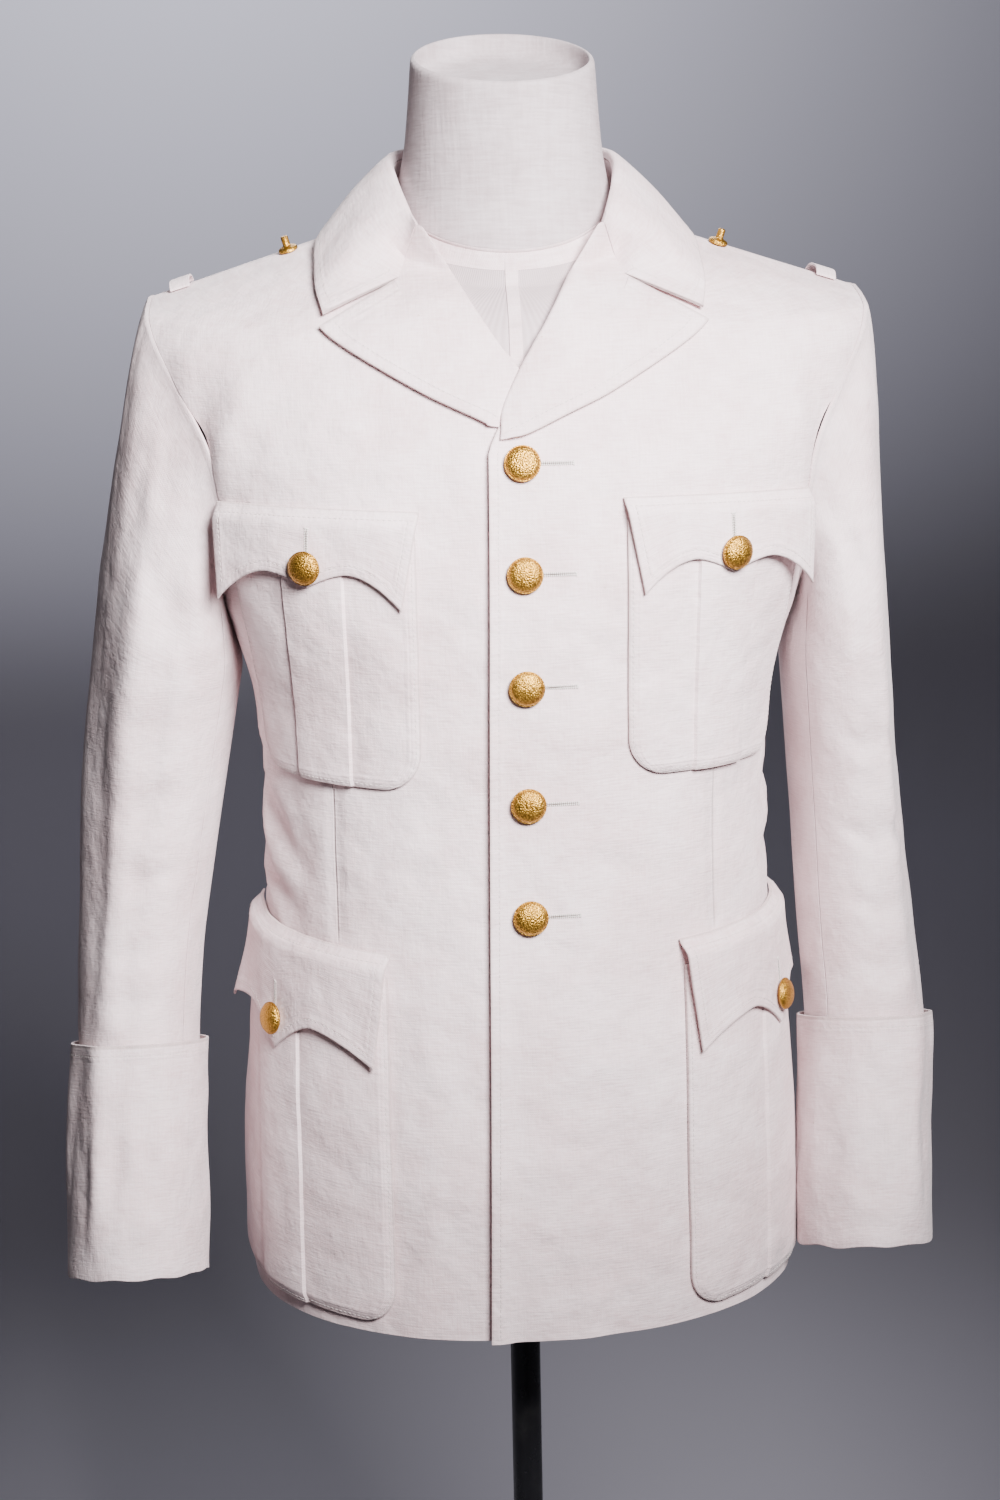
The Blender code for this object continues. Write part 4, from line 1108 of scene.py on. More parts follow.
def build_back(side):
    rows = len(PANEL_HEIGHTS) - 1
    seams = [outer_angle(height, True) for height in PANEL_HEIGHTS]

    def girth(column, row):
        height = PANEL_HEIGHTS[row]
        end = girth_run(round(height, 5))[-1] - SEAM / 2
        return blend(girth_at(height, seams[row]) + SEAM / 2, end, column / BACK_COLUMNS)

    def place(column, row, outside):
        at_seam = {0: seams[row], BACK_COLUMNS: math.pi}.get(column)
        out = 0 if outside else -CLOTH
        return on_body(PANEL_HEIGHTS[row], girth(column, row), side, out, at_seam)

    cloth(
        "tunic_back_" + WORDS[side], "back_" + WORDS[side], BACK_COLUMNS, rows, place,
        lambda column, row: (girth(column, row) * side + BACK_LIES, PANEL_HEIGHTS[row]),
    )


# Sleeves

def armhole_place(place):
    """Ring height and angle of a place round the armhole: up its front and down its back."""
    place %= ROUND
    back = place > HALF_WAY
    at = ROUND - place if back else place
    i = min(int(at), HALF_WAY - 1)
    height = blend(ARMHOLE_ROWS[i], ARMHOLE_ROWS[i + 1], at - i)
    angle = armhole_angle(height)
    return height, (math.pi - angle if back else angle)


@functools.lru_cache(maxsize=None)
def armhole_edge(place):
    """The armhole's edge at a place: its point, the way out of the cloth and off its edge."""
    height, angle = armhole_place(place)
    before, after = (ring_point(*armhole_place(place + step)) for step in (-1, 1))
    normal = ring_normal(height, angle)
    along = (after - before).normalized()
    return ring_point(height, angle), normal, along.cross(normal).normalized()


def arm_point(arm, height, turn, out):
    """A point of the tube of an arm, moved out of it."""
    centre_x, centre_y, half_width, half_depth, lean = read_table(SLEEVES[arm], height)
    x = centre_x - (half_width + out) * math.cos(turn)
    y = centre_y - (half_depth + out) * math.sin(turn)
    return Vector((x, y, height - (y - centre_y) * lean))


SLEEVE_LINES = in_metres(SLEEVE_CREASES)


def sleeve_crease(arm, turn, height):
    """How far a sleeve's cloth goes out, less where the sleeve faces the body."""
    around = math.degrees(turn) % 360 * SLEEVE_DEGREE
    low = crease_at(SLEEVE_LINES[arm], around, height, ROUND_ARM)
    uneven = 0.0006 * ripple(math.cos(turn) * 0.06 + arm, math.sin(turn) * 0.06, height, 0.035)
    facing_body = 1 - 0.6 * soft_step(math.cos(turn), 0.3, 0.9)
    return (low + uneven) * facing_body


# How far the first rows are from the armhole's edge, and how far they puff out
SEAM_ROWS = ((SEAM, 0.0), (0.0012, 0.0005), (0.0025, 0.0007))
SLEEVE_SEAM = SEAM * 1.5


def sleeve_point(arm, place, row, outside):
    """A point of a sleeve, as if it were the left one, from the armhole seam down to the cuff."""
    out = 0 if outside else -CLOTH
    table = SLEEVES[arm]
    turn = math.pi * place / HALF_WAY
    if row > CAP_STEPS:
        share = (row - CAP_STEPS) / ARM_STEPS
        height = blend(table[0][0], table[-1][0], share)
        fade = 1 - soft_step(height, CUFF_TOP + 0.012, CUFF_TOP - 0.004)
        return arm_point(arm, height, turn, out + sleeve_crease(arm, turn, height) * fade)
    edge, normal, away = armhole_edge(place)
    if row < len(SEAM_ROWS):
        reach, puff = SEAM_ROWS[row]
        return edge + away * reach + normal * (out + puff)
    high = (1 - math.cos(turn)) / 2
    start = edge + away * SEAM_ROWS[-1][0] + normal * out
    end = arm_point(arm, table[0][0], turn, out)
    fullness = (0.020 * math.sin(turn) ** 2 + 0.002 * high) * CAP_FULLNESS[arm]
    leave = 0.008 - 0.002 * high + fullness
    arrive = 0.025 + 0.115 * high ** 1.5
    axis = (arm_point(arm, table[0][0] - 0.02, turn, out) - end).normalized()
    outward = Vector((blend(0.9, 0.0, high), 0, 0))
    near, far = start + (away + outward).normalized() * leave, end - axis * arrive
    t = (row - len(SEAM_ROWS) + 1) / (CAP_STEPS - len(SEAM_ROWS) + 1)
    point = (
        start * (1 - t) ** 3
        + near * 3 * t * (1 - t) ** 2
        + far * 3 * t * t * (1 - t)
        + end * t ** 3
    )
    away_from_arm = point - Vector((*read_table(table, table[0][0])[:2], point.z))
    away_from_arm.z = 0
    if away_from_arm.length > 1e-6:
        crease = sleeve_crease(arm, turn, point.z) * soft_step(t, 0.05, 0.35)
        crease += 0.0007 * (1 - soft_step(t, 0.0, 0.12))
        point = point + away_from_arm.normalized() * crease
    return point


def build_sleeve(side):
    rows = CAP_STEPS + ARM_STEPS
    for part, first, last in (
        ("sleeve_upper_", FRONT_SEAM, BACK_SEAM),
        ("sleeve_under_", BACK_SEAM, FRONT_SEAM + ROUND),
    ):
        columns = (last - first) * FINE

        def place(column, row, outside):
            at = (first + column / FINE) % ROUND
            point = sleeve_point(side, at, row, outside)
            if column in (0, columns):
                step = 1 / FINE if column == 0 else -1 / FINE
                beside = sleeve_point(side, (at + step) % ROUND, row, outside)
                point = point + (beside - point).normalized() * SLEEVE_SEAM
            return mirrored(point, side)

        def lie(column, row):
            return ARM_LIES + 2 * side + (first + column / FINE) * 0.0185, 2.0 - row * 0.0052

        cloth("tunic_" + part + WORDS[side], part + WORDS[side], columns, rows, place, lie)


CUFF_LINES = in_metres(CUFF_CREASES)
CUFF_SAG, CUFF_SAG_ROWS = 0.0042, 8
CUFF_TOP_GAP, CUFF_LEAST_GAP = 0.0022, 0.0006


def cuff_stand_off(side, turn, height):
    """How far the cuff stands off the sleeve that it is turned up on."""
    bottom = SLEEVES[side][-1][0] - 0.001
    share = (height - bottom) / (CUFF_TOP - bottom)
    around = math.degrees(turn) % 360 * SLEEVE_DEGREE
    creased = crease_at(CUFF_LINES[side], around, height, ROUND_ARM)
    waves = ripple(math.cos(turn) * 0.07, math.sin(turn) * 0.07 + side, height, 0.030)
    uneven = 0.0012 * (1 + waves)
    off = blend(LAID, CUFF_TOP_GAP, share) + (uneven + creased) * soft_step(share, 0.0, 0.25)
    return max(off, CUFF_LEAST_GAP)


def build_cuff(side):
    columns = ROUND * FINE
    bottom = SLEEVES[side][-1][0] - 0.001

    def height_of(row):
        return blend(bottom, CUFF_TOP, row / CUFF_STEPS)

    def place(column, row, outside):
        turn = 2 * math.pi * column / columns
        sag = 0.5 + 0.5 * ripple(math.cos(turn) * 0.07, math.sin(turn) * 0.07, 3.1 + side, 0.026)
        height = height_of(row) - CUFF_SAG * sag * max(0.0, 1 - row / CUFF_SAG_ROWS)
        out = cuff_stand_off(side, turn, height) + (CLOTH if outside else 0)
        return mirrored(arm_point(side, height, turn, out), side)

    cloth(
        "tunic_cuff_" + WORDS[side], "cuff_" + WORDS[side], columns, CUFF_STEPS, place,
        lambda column, row: (CUFF_LIES + 2 * side + column / columns * 0.30, height_of(row)),
        closed=True, finish=EDGED, edge=lambda column, row: CUFF_TOP - height_of(row) - 0.0015,
    )


def sew_cuff(side):
    threads = bmesh.new()
    level = CUFF_TOP - STITCH_LINE - 0.0015

    def surface(turn):
        out = cuff_stand_off(side, turn, level) + CLOTH
        normal = Vector((-math.cos(turn), -math.sin(turn), 0.0))
        return mirrored(arm_point(side, level, turn, out), side), mirrored(normal, side)

    sew(threads, surface, 0.0, 2 * math.pi, 200)
    threads_done("stitching_cuff_" + WORDS[side], threads)


# Lapels and collar

def polyline(points, share):
    place = share * (len(points) - 1)
    i = min(int(place), len(points) - 2)
    return [blend(a, b, place - i) for a, b in zip(points[i], points[i + 1])]


def smooth_line(points, share):
    """A point on a smooth curve through points, read by their number."""
    place = share * (len(points) - 1)
    i = min(int(place), len(points) - 2)
    t = place - i
    a, b = points[i], points[i + 1]
    before = points[i - 1] if i else [2 * p - q for p, q in zip(a, b)]
    after = points[i + 2] if i + 2 < len(points) else [2 * q - p for p, q in zip(a, b)]
    return [
        curve(p, q, r, s, t)
        for p, q, r, s in zip(before, a, b, after)
    ]


def lapel_outline(side):
    """The lapel's roll line and its lower edge up to the tip, seen square on."""
    end = LAPEL_END if side == LEFT else UNDER_LAPEL_END
    inner = [end, (roll_across(1.381) + 0.0004, 1.381)] if side == LEFT else [end]
    inner.append(CROSSING)
    for height in (1.418, 1.439, 1.461):
        inner.append((roll_across(height), height))
    inner.append((ROLL[0][0] - 0.0006, ROLL[0][2] - 0.0012))
    first = (end[0] + 0.005, end[1] + 0.0005)
    if side == LEFT:
        lower = [first, (0.004, 1.3665), *LAPEL_EDGE, LAPEL_TIP]
    else:
        lower = [first, *LAPEL_EDGE, LAPEL_TIP]
    return inner, lower


LAPEL_COLUMNS, LAPEL_ROWS, CURL_COLUMNS = 32, 60, 8


def lapel_plan(side, u, v):
    """Where a place of the lapel is, square on: u runs up it and v out from the roll line."""
    inner, outer = lapel_outline(side)
    top = [inner[-1], NOTCH, LAPEL_TIP]
    near, far, up = smooth_line(inner, u), smooth_line(outer, u), polyline(top, v)
    return near, [
        near[k] * (1 - v) + far[k] * v + u * (up[k] - top[0][k] * (1 - v) - top[2][k] * v)
        for k in (0, 1)
    ]


def lapel_point(side, u, v, outside):
    """A point of the lapel. Where v is below 0 the cloth curls over the roll line."""
    near, (across, height) = lapel_plan(side, u, max(v, 0.0))
    rise = ROLL_RISE * soft_step(near[1], 1.42, ROLL[0][2])
    lift = overlap_lift(across, side)
    belly = 0.0012 * math.sin(math.pi * min(max(v, 0), 1)) * soft_step(u, 0.05, 0.4)
    low = LAID + rise * (1 - max(v, 0.0)) ** 2 + lift + 0.0015 * max(v, 0.0) ** 2 + belly
    if v >= 0:
        return on_chest(across, height, side, low + (LAPEL_CLOTH if outside else 0))
    under = blend(low - 0.0002, -CLOTH + lift, soft_step(u, 0.03, 0.16))
    middle = (low + LAPEL_CLOTH + under) / 2
    radius = (low + LAPEL_CLOTH - under) / 2 - (0 if outside else LAPEL_CLOTH)
    radius = max(radius, 0.0001)
    turn = math.pi * (0.5 + min(-v, 1.0))
    inward = radius * math.cos(turn)
    return on_chest(across + inward, height, side, middle + radius * math.sin(turn))


def edge_gap(side, u, v):
    """How far a place of the lapel is from its stitched edges."""
    _, here = lapel_plan(side, u, max(v, 0.0))
    _, out = lapel_plan(side, u, 1.0)
    _, up = lapel_plan(side, 1.0, max(v, 0.0))
    across = math.dist(here, out) * 0.82
    above = math.dist(here, up) * 0.92
    return min(across, above if v > 0.5 else FAR)


def build_lapel(side):
    columns = LAPEL_COLUMNS + CURL_COLUMNS

    def share(column):
        if column < CURL_COLUMNS:
            return (column - CURL_COLUMNS) / CURL_COLUMNS
        return (column - CURL_COLUMNS) / LAPEL_COLUMNS

    def place(column, row, outside):
        return lapel_point(side, row / LAPEL_ROWS, share(column), outside)

    def lie(column, row):
        _, (across, height) = lapel_plan(side, row / LAPEL_ROWS, max(share(column), 0))
        return across * side + LAPEL_LIES + min(share(column), 0) * 0.006, height

    cloth(
        "tunic_lapel_" + WORDS[side], "lapel_" + WORDS[side], columns, LAPEL_ROWS, place, lie,
        finish=EDGED, edge=lambda column, row: edge_gap(side, row / LAPEL_ROWS, share(column)),
    )


def sew_lapel(side):
    """Stitching inside the lapel's lower edge, round its tip and back to the notch."""
    threads = bmesh.new()

    def surface(u, v):
        return with_normal(lambda a, b: lapel_point(side, a, b, True), u, v, 0.004, 0.01)

    outer_reach = [
        math.dist(lapel_plan(side, i / 60, 0.0)[1], lapel_plan(side, i / 60, 1.0)[1])
        for i in range(61)
    ]

    def inset(u):
        place = min(max(u, 0.0), 1.0) * 60
        i = min(int(place), 59)
        return 1 - STITCH_LINE * 1.15 / blend(outer_reach[i], outer_reach[i + 1], place - i)

    top = 0.945
    sew(threads, lambda u: surface(u, max(inset(u), 0.05)), 0.10, top, 120)
    sew(threads, lambda v: surface(top, v), inset(top), 0.52, 60)
    threads_done("stitching_lapel_" + WORDS[side], threads)


@functools.lru_cache(maxsize=None)
def collar_station(number):
    """The fall's roll, middle and edge at one of the places that ROLL and FALL give."""
    roll = Vector(ROLL[number])
    edge = over_shoulder(*FALL[number], FALL_CLEAR)
    outward = Vector((edge.x - roll.x, edge.y - roll.y, 0.0)).normalized()
    middle = (roll + edge) / 2 + outward * 0.003
    if number == 0:
        middle = on_face(NOTCH[0] + 0.0008, NOTCH[1] + 0.0018, LEFT, 0.0052)
    return roll, middle, edge


def collar_curve(place):
    last = len(ROLL) - 1
    i = min(int(place), last - 1)
    t = place - i
    found = []
    for kind in range(3):
        a, b = collar_station(i)[kind], collar_station(i + 1)[kind]
        before = collar_station(i - 1)[kind] if i > 0 else a * 2 - b
        after = collar_station(i + 2)[kind] if i + 2 <= last else Vector((-a.x, a.y, a.z))
        found.append(curve(before, a, b, after, t))
    return found


COLLAR_HALF, COLLAR_ROWS = 60, 26
COLLAR_STOPS = (0.0, 0.16, 0.30, 0.62, 1.0)
GORGE_SEAM = 0.0005
GORGE_REACH = 0.14


@functools.lru_cache(maxsize=None)
def gorge_shift(down):
    """How far the collar's front end is moved to meet the lapel along the gorge seam."""
    first, last = COLLAR_STOPS[1], COLLAR_STOPS[3]
    out = 0.5 * max(min((down - first) / (last - first), 1.0), 0.0)
    sewn = (lapel_point(LEFT, 1.0, out, True) + lapel_point(LEFT, 1.0, out, False)) / 2
    up_collar = (collar_curve(0.3)[0] - collar_curve(0.0)[0]).normalized()
    loose = soft_step(down, last, 1.0)
    return (sewn + up_collar * GORGE_SEAM - free_fall(0.0, max(down, first))) * (1 - loose)


def fall_middle(share, down):
    """The middle of the fall's cloth, from a front end (share 0) to the back, roll to edge."""
    point = free_fall(share, down)
    near = 1 - soft_step(share, 0.0, GORGE_REACH)
    return point + gorge_shift(round(down, 5)) * near if near else point


def free_fall(share, down):
    """The middle of the fall's cloth before its front ends are moved to the lapels."""
    last = len(ROLL) - 1
    roll, middle, edge = collar_curve(share * last)
    inward = Vector((-roll.x, -roll.y, 0)).normalized()
    outward = Vector((edge.x - roll.x, edge.y - roll.y, 0)).normalized()
    points = [
        roll + inward * 0.0026 - Vector((0, 0, 0.0050)),
        roll + inward * 0.0006 - Vector((0, 0, 0.0004)),
        roll.lerp(middle, 0.30) + outward * 0.0008,
        middle,
        edge,
    ]
    i = min(bisect.bisect_right(COLLAR_STOPS, down) - 1, 3)
    t = (down - COLLAR_STOPS[i]) / (COLLAR_STOPS[i + 1] - COLLAR_STOPS[i])
    a, b = points[i], points[i + 1]
    before = points[i - 1] if i else a * 2 - b
    after = points[i + 2] if i < 3 else b * 2 - a
    return curve(before, a, b, after, t)


def fall_point(share, down, side, outside):
    point = fall_middle(share, down)
    step = 0.01
    after = fall_middle(min(share + step, 1.0), down)
    before = fall_middle(max(share - step, 0.0), down)
    along = after - before
    if share > 1 - step:
        along = Vector((-1.0, 0.0, 0.0))
    fall = fall_middle(share, min(down + step, 1.0)) - fall_middle(share, max(down - step, 0.0))
    normal = fall.cross(along).normalized()
    out = Vector((point.x, point.y, 0.04))
    if down > COLLAR_STOPS[1] and normal.dot(out) < 0:
        normal = -normal
    return mirrored(point + normal * (CLOTH / 2 if outside else -CLOTH / 2), side)


def collar_share(column):
    """Which side a column of the collar is on, and its share of the way to the back."""
    side = RIGHT if column < COLLAR_HALF else LEFT
    return side, 1 - abs(column - COLLAR_HALF) / COLLAR_HALF


def build_collar_fall():
    def place(column, row, outside):
        side, share = collar_share(column)
        return fall_point(share, row / COLLAR_ROWS, side, outside)

    def edge(column, row):
        _, share = collar_share(column)
        down = row / COLLAR_ROWS
        here = fall_middle(share, down)
        below = (here - fall_middle(share, 1.0)).length
        front = (here - fall_middle(0.0, down)).length if down > 0.62 else FAR
        return min(below, front)

    cloth(
        "tunic_collar_fall", "collar_fall", 2 * COLLAR_HALF, COLLAR_ROWS, place,
        lambda column, row: (FALL_LIES + column * 0.0035, row * 0.0021),
        finish=EDGED, edge=edge,
    )


def sew_collar():
    threads = bmesh.new()
    for side in (LEFT, RIGHT):
        def surface(share, down):
            def at(a, b):
                return fall_point(min(max(a, 0.0), 1.0), b, side, True)

            return with_normal(at, share, down, 0.006, 0.01)

        def reach(share):
            return (fall_middle(share, 1.0) - fall_middle(share, 0.62)).length

        def low(share):
            return 1 - 0.38 * STITCH_LINE / reach(share)

        first = STITCH_LINE / ((fall_middle(0.1, 0.9) - fall_middle(0.0, 0.9)).length / 0.1)
        sew(threads, lambda down: surface(first, down), 0.60, low(first), 60)
        sew(threads, lambda share: surface(share, low(share)), first, 1.0, 160)
    threads_done("stitching_collar", threads)


def build_collar_stand():
    last = len(ROLL) - 1
    start = girth_at(NECKLINE, math.radians(47))
    end = girth_run(round(NECKLINE, 5))[-1]
    rows = 10

    def place(column, row, outside):
        side, share = collar_share(column)
        roll = collar_curve(share * last)[0]
        inward = Vector((-roll.x, -roll.y, 0)).normalized()
        top = roll + inward * (0.0016 if outside else 0.0034) - Vector((0, 0, 0.0056))
        out = -0.0002 if outside else -CLOTH - 0.0002
        foot = on_body(NECKLINE, blend(start, end, share), LEFT, out)
        foot.z += 0.0022
        return mirrored(foot.lerp(top, row / rows), side)

    cloth(
        "tunic_collar_stand", "collar_stand", 2 * COLLAR_HALF, rows, place,
        lambda column, row: (COLLAR_STAND_LIES + column * 0.0033, row * 0.004),
    )


# Pockets and flaps

def pocket_columns(pocket):
    """Places across a pocket, close together at its edges and at the folds of its pleat."""
    width, pleat, edge = pocket["width"], pocket["pleat"], pocket["edge"]
    fold = (width - pleat) / 2
    half = [edge * i / 4 for i in range(5)]
    half += [blend(edge, fold - 0.003, i / 10) for i in range(1, 11)]
    half += [fold - 0.0012, fold - 0.0002, fold, fold + 0.0010, fold + 0.0030]
    half += [blend(fold + 0.003, width / 2, i / 4) for i in range(1, 4)]
    return [*half, width / 2, *(width - place for place in half[::-1])]


def pocket_rows(pocket):
    """Places up a pocket, close together at its foot."""
    height, corner = pocket["top"] - pocket["bottom"], pocket["round"]
    turns = [0.0, 0.0006, 0.0014, 0.0026, 0.0040]
    turns += [blend(0.0040, corner, i / 8) for i in range(1, 9)]
    above = [blend(corner, height, i / 40) for i in range(1, 41)]
    return [*turns, *above]


def pocket_out(pocket, across, up, outside):
    """How far a pocket stands out of the front, with its box pleat."""
    width, pleat = pocket["width"], pocket["pleat"]
    edge = min(across, width - across, up)
    rise = pocket["stand"] * soft_step(edge, 0.0, pocket["edge"] * 1.3)
    if not outside:
        return LAID + rise
    fold = (width - pleat) / 2
    inside = min(across - fold, width - fold - across)
    pleated = 0.0016 * soft_step(inside, -0.0006, 0.0)
    beside = -0.0004 * math.exp(-((inside + 0.0018) / 0.0014) ** 2)
    crown = 0.0006 * soft_step(inside, 0.0, 0.008)
    return LAID + rise + pocket["cloth"] + pleated + beside + crown


def pocket_point(pocket, across, up, side, outside, more=0.0):
    width, corner = pocket["width"], pocket["round"]
    fold = (width - pocket["pleat"]) / 2 - 0.0014
    inset = corner - math.sqrt(max(0.0, corner ** 2 - max(0.0, corner - up) ** 2))
    out = pocket_out(pocket, across, up, outside) + more
    if across < fold:
        across = inset + across * (fold - inset) / fold
    elif across > width - fold:
        across = width - inset - (width - across) * (fold - inset) / fold
    low = pocket["slope"][side] * (1 - across / width)
    return on_body(pocket["bottom"] + up - low, pocket["start"][side] + across, side, out)


def build_pocket(pocket, side, name):
    places, rises = pocket_columns(pocket), pocket_rows(pocket)
    width = pocket["width"]

    def place(column, row, outside):
        return pocket_point(pocket, places[column], rises[row], side, outside)

    def edge(column, row):
        across, up = places[column], rises[row]
        return min(across, width - across, up)

    cloth(
        "tunic_" + name, name, len(places) - 1, len(rises) - 1, place,
        lambda column, row: (
            POCKET_LIES + side + places[column] * side, pocket["bottom"] + rises[row],
        ),
        finish=EDGED, edge=edge,
    )


def sew_pocket(pocket, side, name):
    """Stitching round a pocket's sides and foot, close to its edge."""
    threads = bmesh.new()
    width, height = pocket["width"], pocket["top"] - pocket["bottom"]
    inset = 0.0024

    def surface(across, up):
        def at(a, b):
            return pocket_point(pocket, a, b, side, True, 0.0001)

        return with_normal(at, across, up, 0.001, 0.001)

    sew(threads, lambda up: surface(inset, up), height - 0.004, inset, 120)
    sew(threads, lambda across: surface(across, inset), inset * 2, width - inset * 2, 100)
    sew(threads, lambda up: surface(width - inset, up), inset, height - 0.004, 120)
    threads_done("stitching_" + name, threads)


def flap_depth(flap, share):
    """How deep a flap is: share is 0 at its point, in the middle, and 1 at its corners."""
    if share < ARCH_PLACE:
        return flap["arch"] + (flap["point"] - flap["arch"]) * (1 - share / ARCH_PLACE) ** 1.5
    out = (share - ARCH_PLACE) / (1 - ARCH_PLACE)
    return flap["arch"] + (flap["corner"] - flap["arch"]) * out ** 1.8


def flap_point(flap, share, down, side, outside, more=0.0):
    """A point of a flap: share runs from its front end to its back end, down from seam to edge."""
    depth = down * flap_depth(flap, abs(2 * share - 1))
    taper = flap["taper"] * down * (1 - share) ** 2
    girth = flap["start"][side] + flap["width"] * share + taper
    top = flap["top"] - flap["slope"][side] * (1 - share)
    out = blend(LAID, flap["over"], soft_step(depth, 0.0, 0.010)) + (CLOTH if outside else 0)
    out += flap["flare"][side] * down * down * soft_step(share, 0.62, 1.0) + more
    lying = on_body(top - depth, girth, side, out)
    hanging = on_body(top, girth, side, out) - Vector((0, 0, depth))
    return lying.lerp(hanging, flap["hang"] * soft_step(share, 0.15, 0.95))


FLAP_COLUMNS, FLAP_ROWS = 64, 24


def build_flap(flap, side, name):
    def edge(column, row):
        share, down = column / FLAP_COLUMNS, 1 - row / FLAP_ROWS
        depth = flap_depth(flap, abs(2 * share - 1))
        ends = min(share, 1 - share) * flap["width"]
        return min(ends, (1 - down) * depth * 0.93, down * depth)

    def place(column, row, outside):
        return flap_point(flap, column / FLAP_COLUMNS, 1 - row / FLAP_ROWS, side, outside)

    cloth(
        "tunic_" + name, name, FLAP_COLUMNS, FLAP_ROWS, place,
        lambda column, row: (FLAP_LIES + side + column * 0.0020, row * 0.0022),
        finish=EDGED, edge=edge,
    )


def sew_flap(flap, side, name):
    """Stitching along the flap's top and all round its edge."""
    threads = bmesh.new()
    width = flap["width"]
    end = STITCH_LINE / width

    def surface(share, down):
        def at(a, b):
            return flap_point(flap, min(max(a, 0.0), 1.0), b, side, True, 0.0001)

        return with_normal(at, share, down, 0.004, 0.01)

    def high(share):
        return STITCH_LINE / flap_depth(flap, abs(2 * share - 1))

    def low(share):
        return 1 - STITCH_LINE / 0.93 / flap_depth(flap, abs(2 * share - 1))

    sew(threads, lambda share: surface(share, high(share)), 0.01, 0.99, 60)
    sew(threads, lambda down: surface(end, down), 0.10, low(end), 40)
    sew(threads, lambda share: surface(share, low(share)), end, 1 - end, 120)
    sew(threads, lambda down: surface(1 - end, down), low(1 - end), 0.10, 40)
    threads_done("stitching_" + name, threads)


# Buttonholes

FRONT_HOLE_START, FRONT_HOLE, FLAP_HOLE = 0.0095, 0.0200, 0.0165


def add_buttonhole(threads, slit, at, reach, half_width=0.0011, bites=17):
    """A worked buttonhole: thread laid close across both lips of a slit, and bars at its ends.

    at(t, s) gives a point and normal at t from 0 to 1 along the slit and s metres to its side.
    """
    for i in range(bites):
        t = (i + 0.5) / bites
        for way in (-1, 1):
            here, normal = at(t, way * half_width * 0.62)
            there, _ = at(t, way * half_width * 1.3)
            add_stitch(threads, here, there - here, normal, 0.0015, reach / bites * 0.95, 0.0006)
    for t in (0.0, 1.0):
        here, normal = at(t, 0.0)
        there, _ = at(t, 0.001)
        add_stitch(threads, here, there - here, normal, half_width * 3.2, 0.0009, 0.0007)
    here, normal = at(0.5, 0.0)
    end, _ = at(1.0, 0.0)
    # A dark bead along the slit: painted shadow in the slit's opening.
    add_stitch(slit, here + normal * 0.00005, end - here, normal, reach * 0.94, 0.0006, 0.0003)


def build_buttonholes():
    threads, slit = bmesh.new(), bmesh.new()
    for height in BUTTON_HEIGHTS:
        ring = ring_through(0.0, height)

        def at(t, s):
            def place(girth, level):
                return on_body(level, girth, LEFT, overlap_lift(girth, LEFT) + 0.00015)

            return with_normal(place, FRONT_HOLE_START + FRONT_HOLE * t, ring + s, 0.002, 0.002)

        add_buttonhole(threads, slit, at, FRONT_HOLE)
    for flap in (CHEST_FLAP, WAIST_FLAP):
        top = flap["button"] - POCKET_BUTTON_RADIUS * 0.6 - FLAP_HOLE
        for side in (LEFT, RIGHT):
            def at(t, s):
                def place(share, down):
                    return flap_point(flap, share, down, side, True, 0.00015)

                down = (top + FLAP_HOLE * t) / flap["point"]
                return with_normal(place, 0.5 + s / flap["width"], down, 0.004, 0.01)

            add_buttonhole(threads, slit, at, FLAP_HOLE)
    threads_done("buttonhole_threads", threads)
    # The slits are dark beads of painted shadow.
    threads_done("buttonhole_slits", slit, PAINTED_SLIT_SHADOW)


# Buttons, studs and loops

BUTTON_STEPS = 40
BUTTON_RIM = 0.0016
DOME_STEP, DOME_END = 8, 80


def build_button(name, radius, point, normal):
    """A domed gilt button with a rolled rim on a short shank."""
    rim = BUTTON_RIM
    profile = [(0.0, BUTTON_HEIGHT)]
    for degrees in range(DOME_STEP, DOME_END + 1, DOME_STEP):
        turn = math.radians(degrees)
        out = radius * 0.93 * math.sin(turn) / math.sin(math.radians(DOME_END))
        profile.append((out, rim + 0.0012 + (BUTTON_HEIGHT - rim - 0.0012) * math.cos(turn)))
    profile += [
        (radius * 0.945, rim + 0.0013), (radius * 0.965, rim + 0.0017),
        (radius * 0.99, rim + 0.0016), (radius, rim + 0.0011),
        (radius * 0.99, rim + 0.0004), (radius * 0.95, rim),
        (0.0034, rim * 0.9), (0.0030, rim * 0.5), (0.0034, 0.0), (0.0, 0.0),
    ]
    place = facing(point + normal * SEAM, normal)
    spun("gilt_" + name, profile, BUTTON_STEPS, GILT, (name,), place)


def build_front_buttons():
    for number, height in enumerate(BUTTON_HEIGHTS):
        ring = ring_through(0.0, height)
        point = on_body(ring, 0.0, LEFT, FRONT_LIFT)
        name = f"button_front_{number + 1}"
        build_button(name, FRONT_BUTTON_RADIUS, point, ring_normal(ring, 0.0))


def build_flap_button(flap, side, name):
    def at(share, down):
        return flap_point(flap, share, down, side, True)

    down = flap["button"] / flap["point"]
    point = at(0.5, down)
    along = at(0.53, down) - at(0.47, down)
    up = at(0.5, down - 0.1) - at(0.5, down + 0.1)
    normal = along.cross(up).normalized() * side
    build_button(name, POCKET_BUTTON_RADIUS, point + normal * 0.0004, normal)


def ridge(across):
    """The point of the shoulder's ridge at a distance across, and the way out of it."""
    low, _ = search(SHOULDER, NECKLINE, 24, lambda ring: section(round(ring, 6))[0] > across)
    return ring_point(low, math.pi / 2), ring_normal(low, math.pi / 2)


STUD = (
    (0.0, 0.0090), (0.0016, 0.0090), (0.0021, 0.0088), (0.0023, 0.0083), (0.0023, 0.0036),
    (0.0026, 0.0031), (0.0036, 0.0028), (0.0054, 0.0020), (0.0060, 0.0013), (0.0060, 0.0),
    (0.0, 0.0),
)


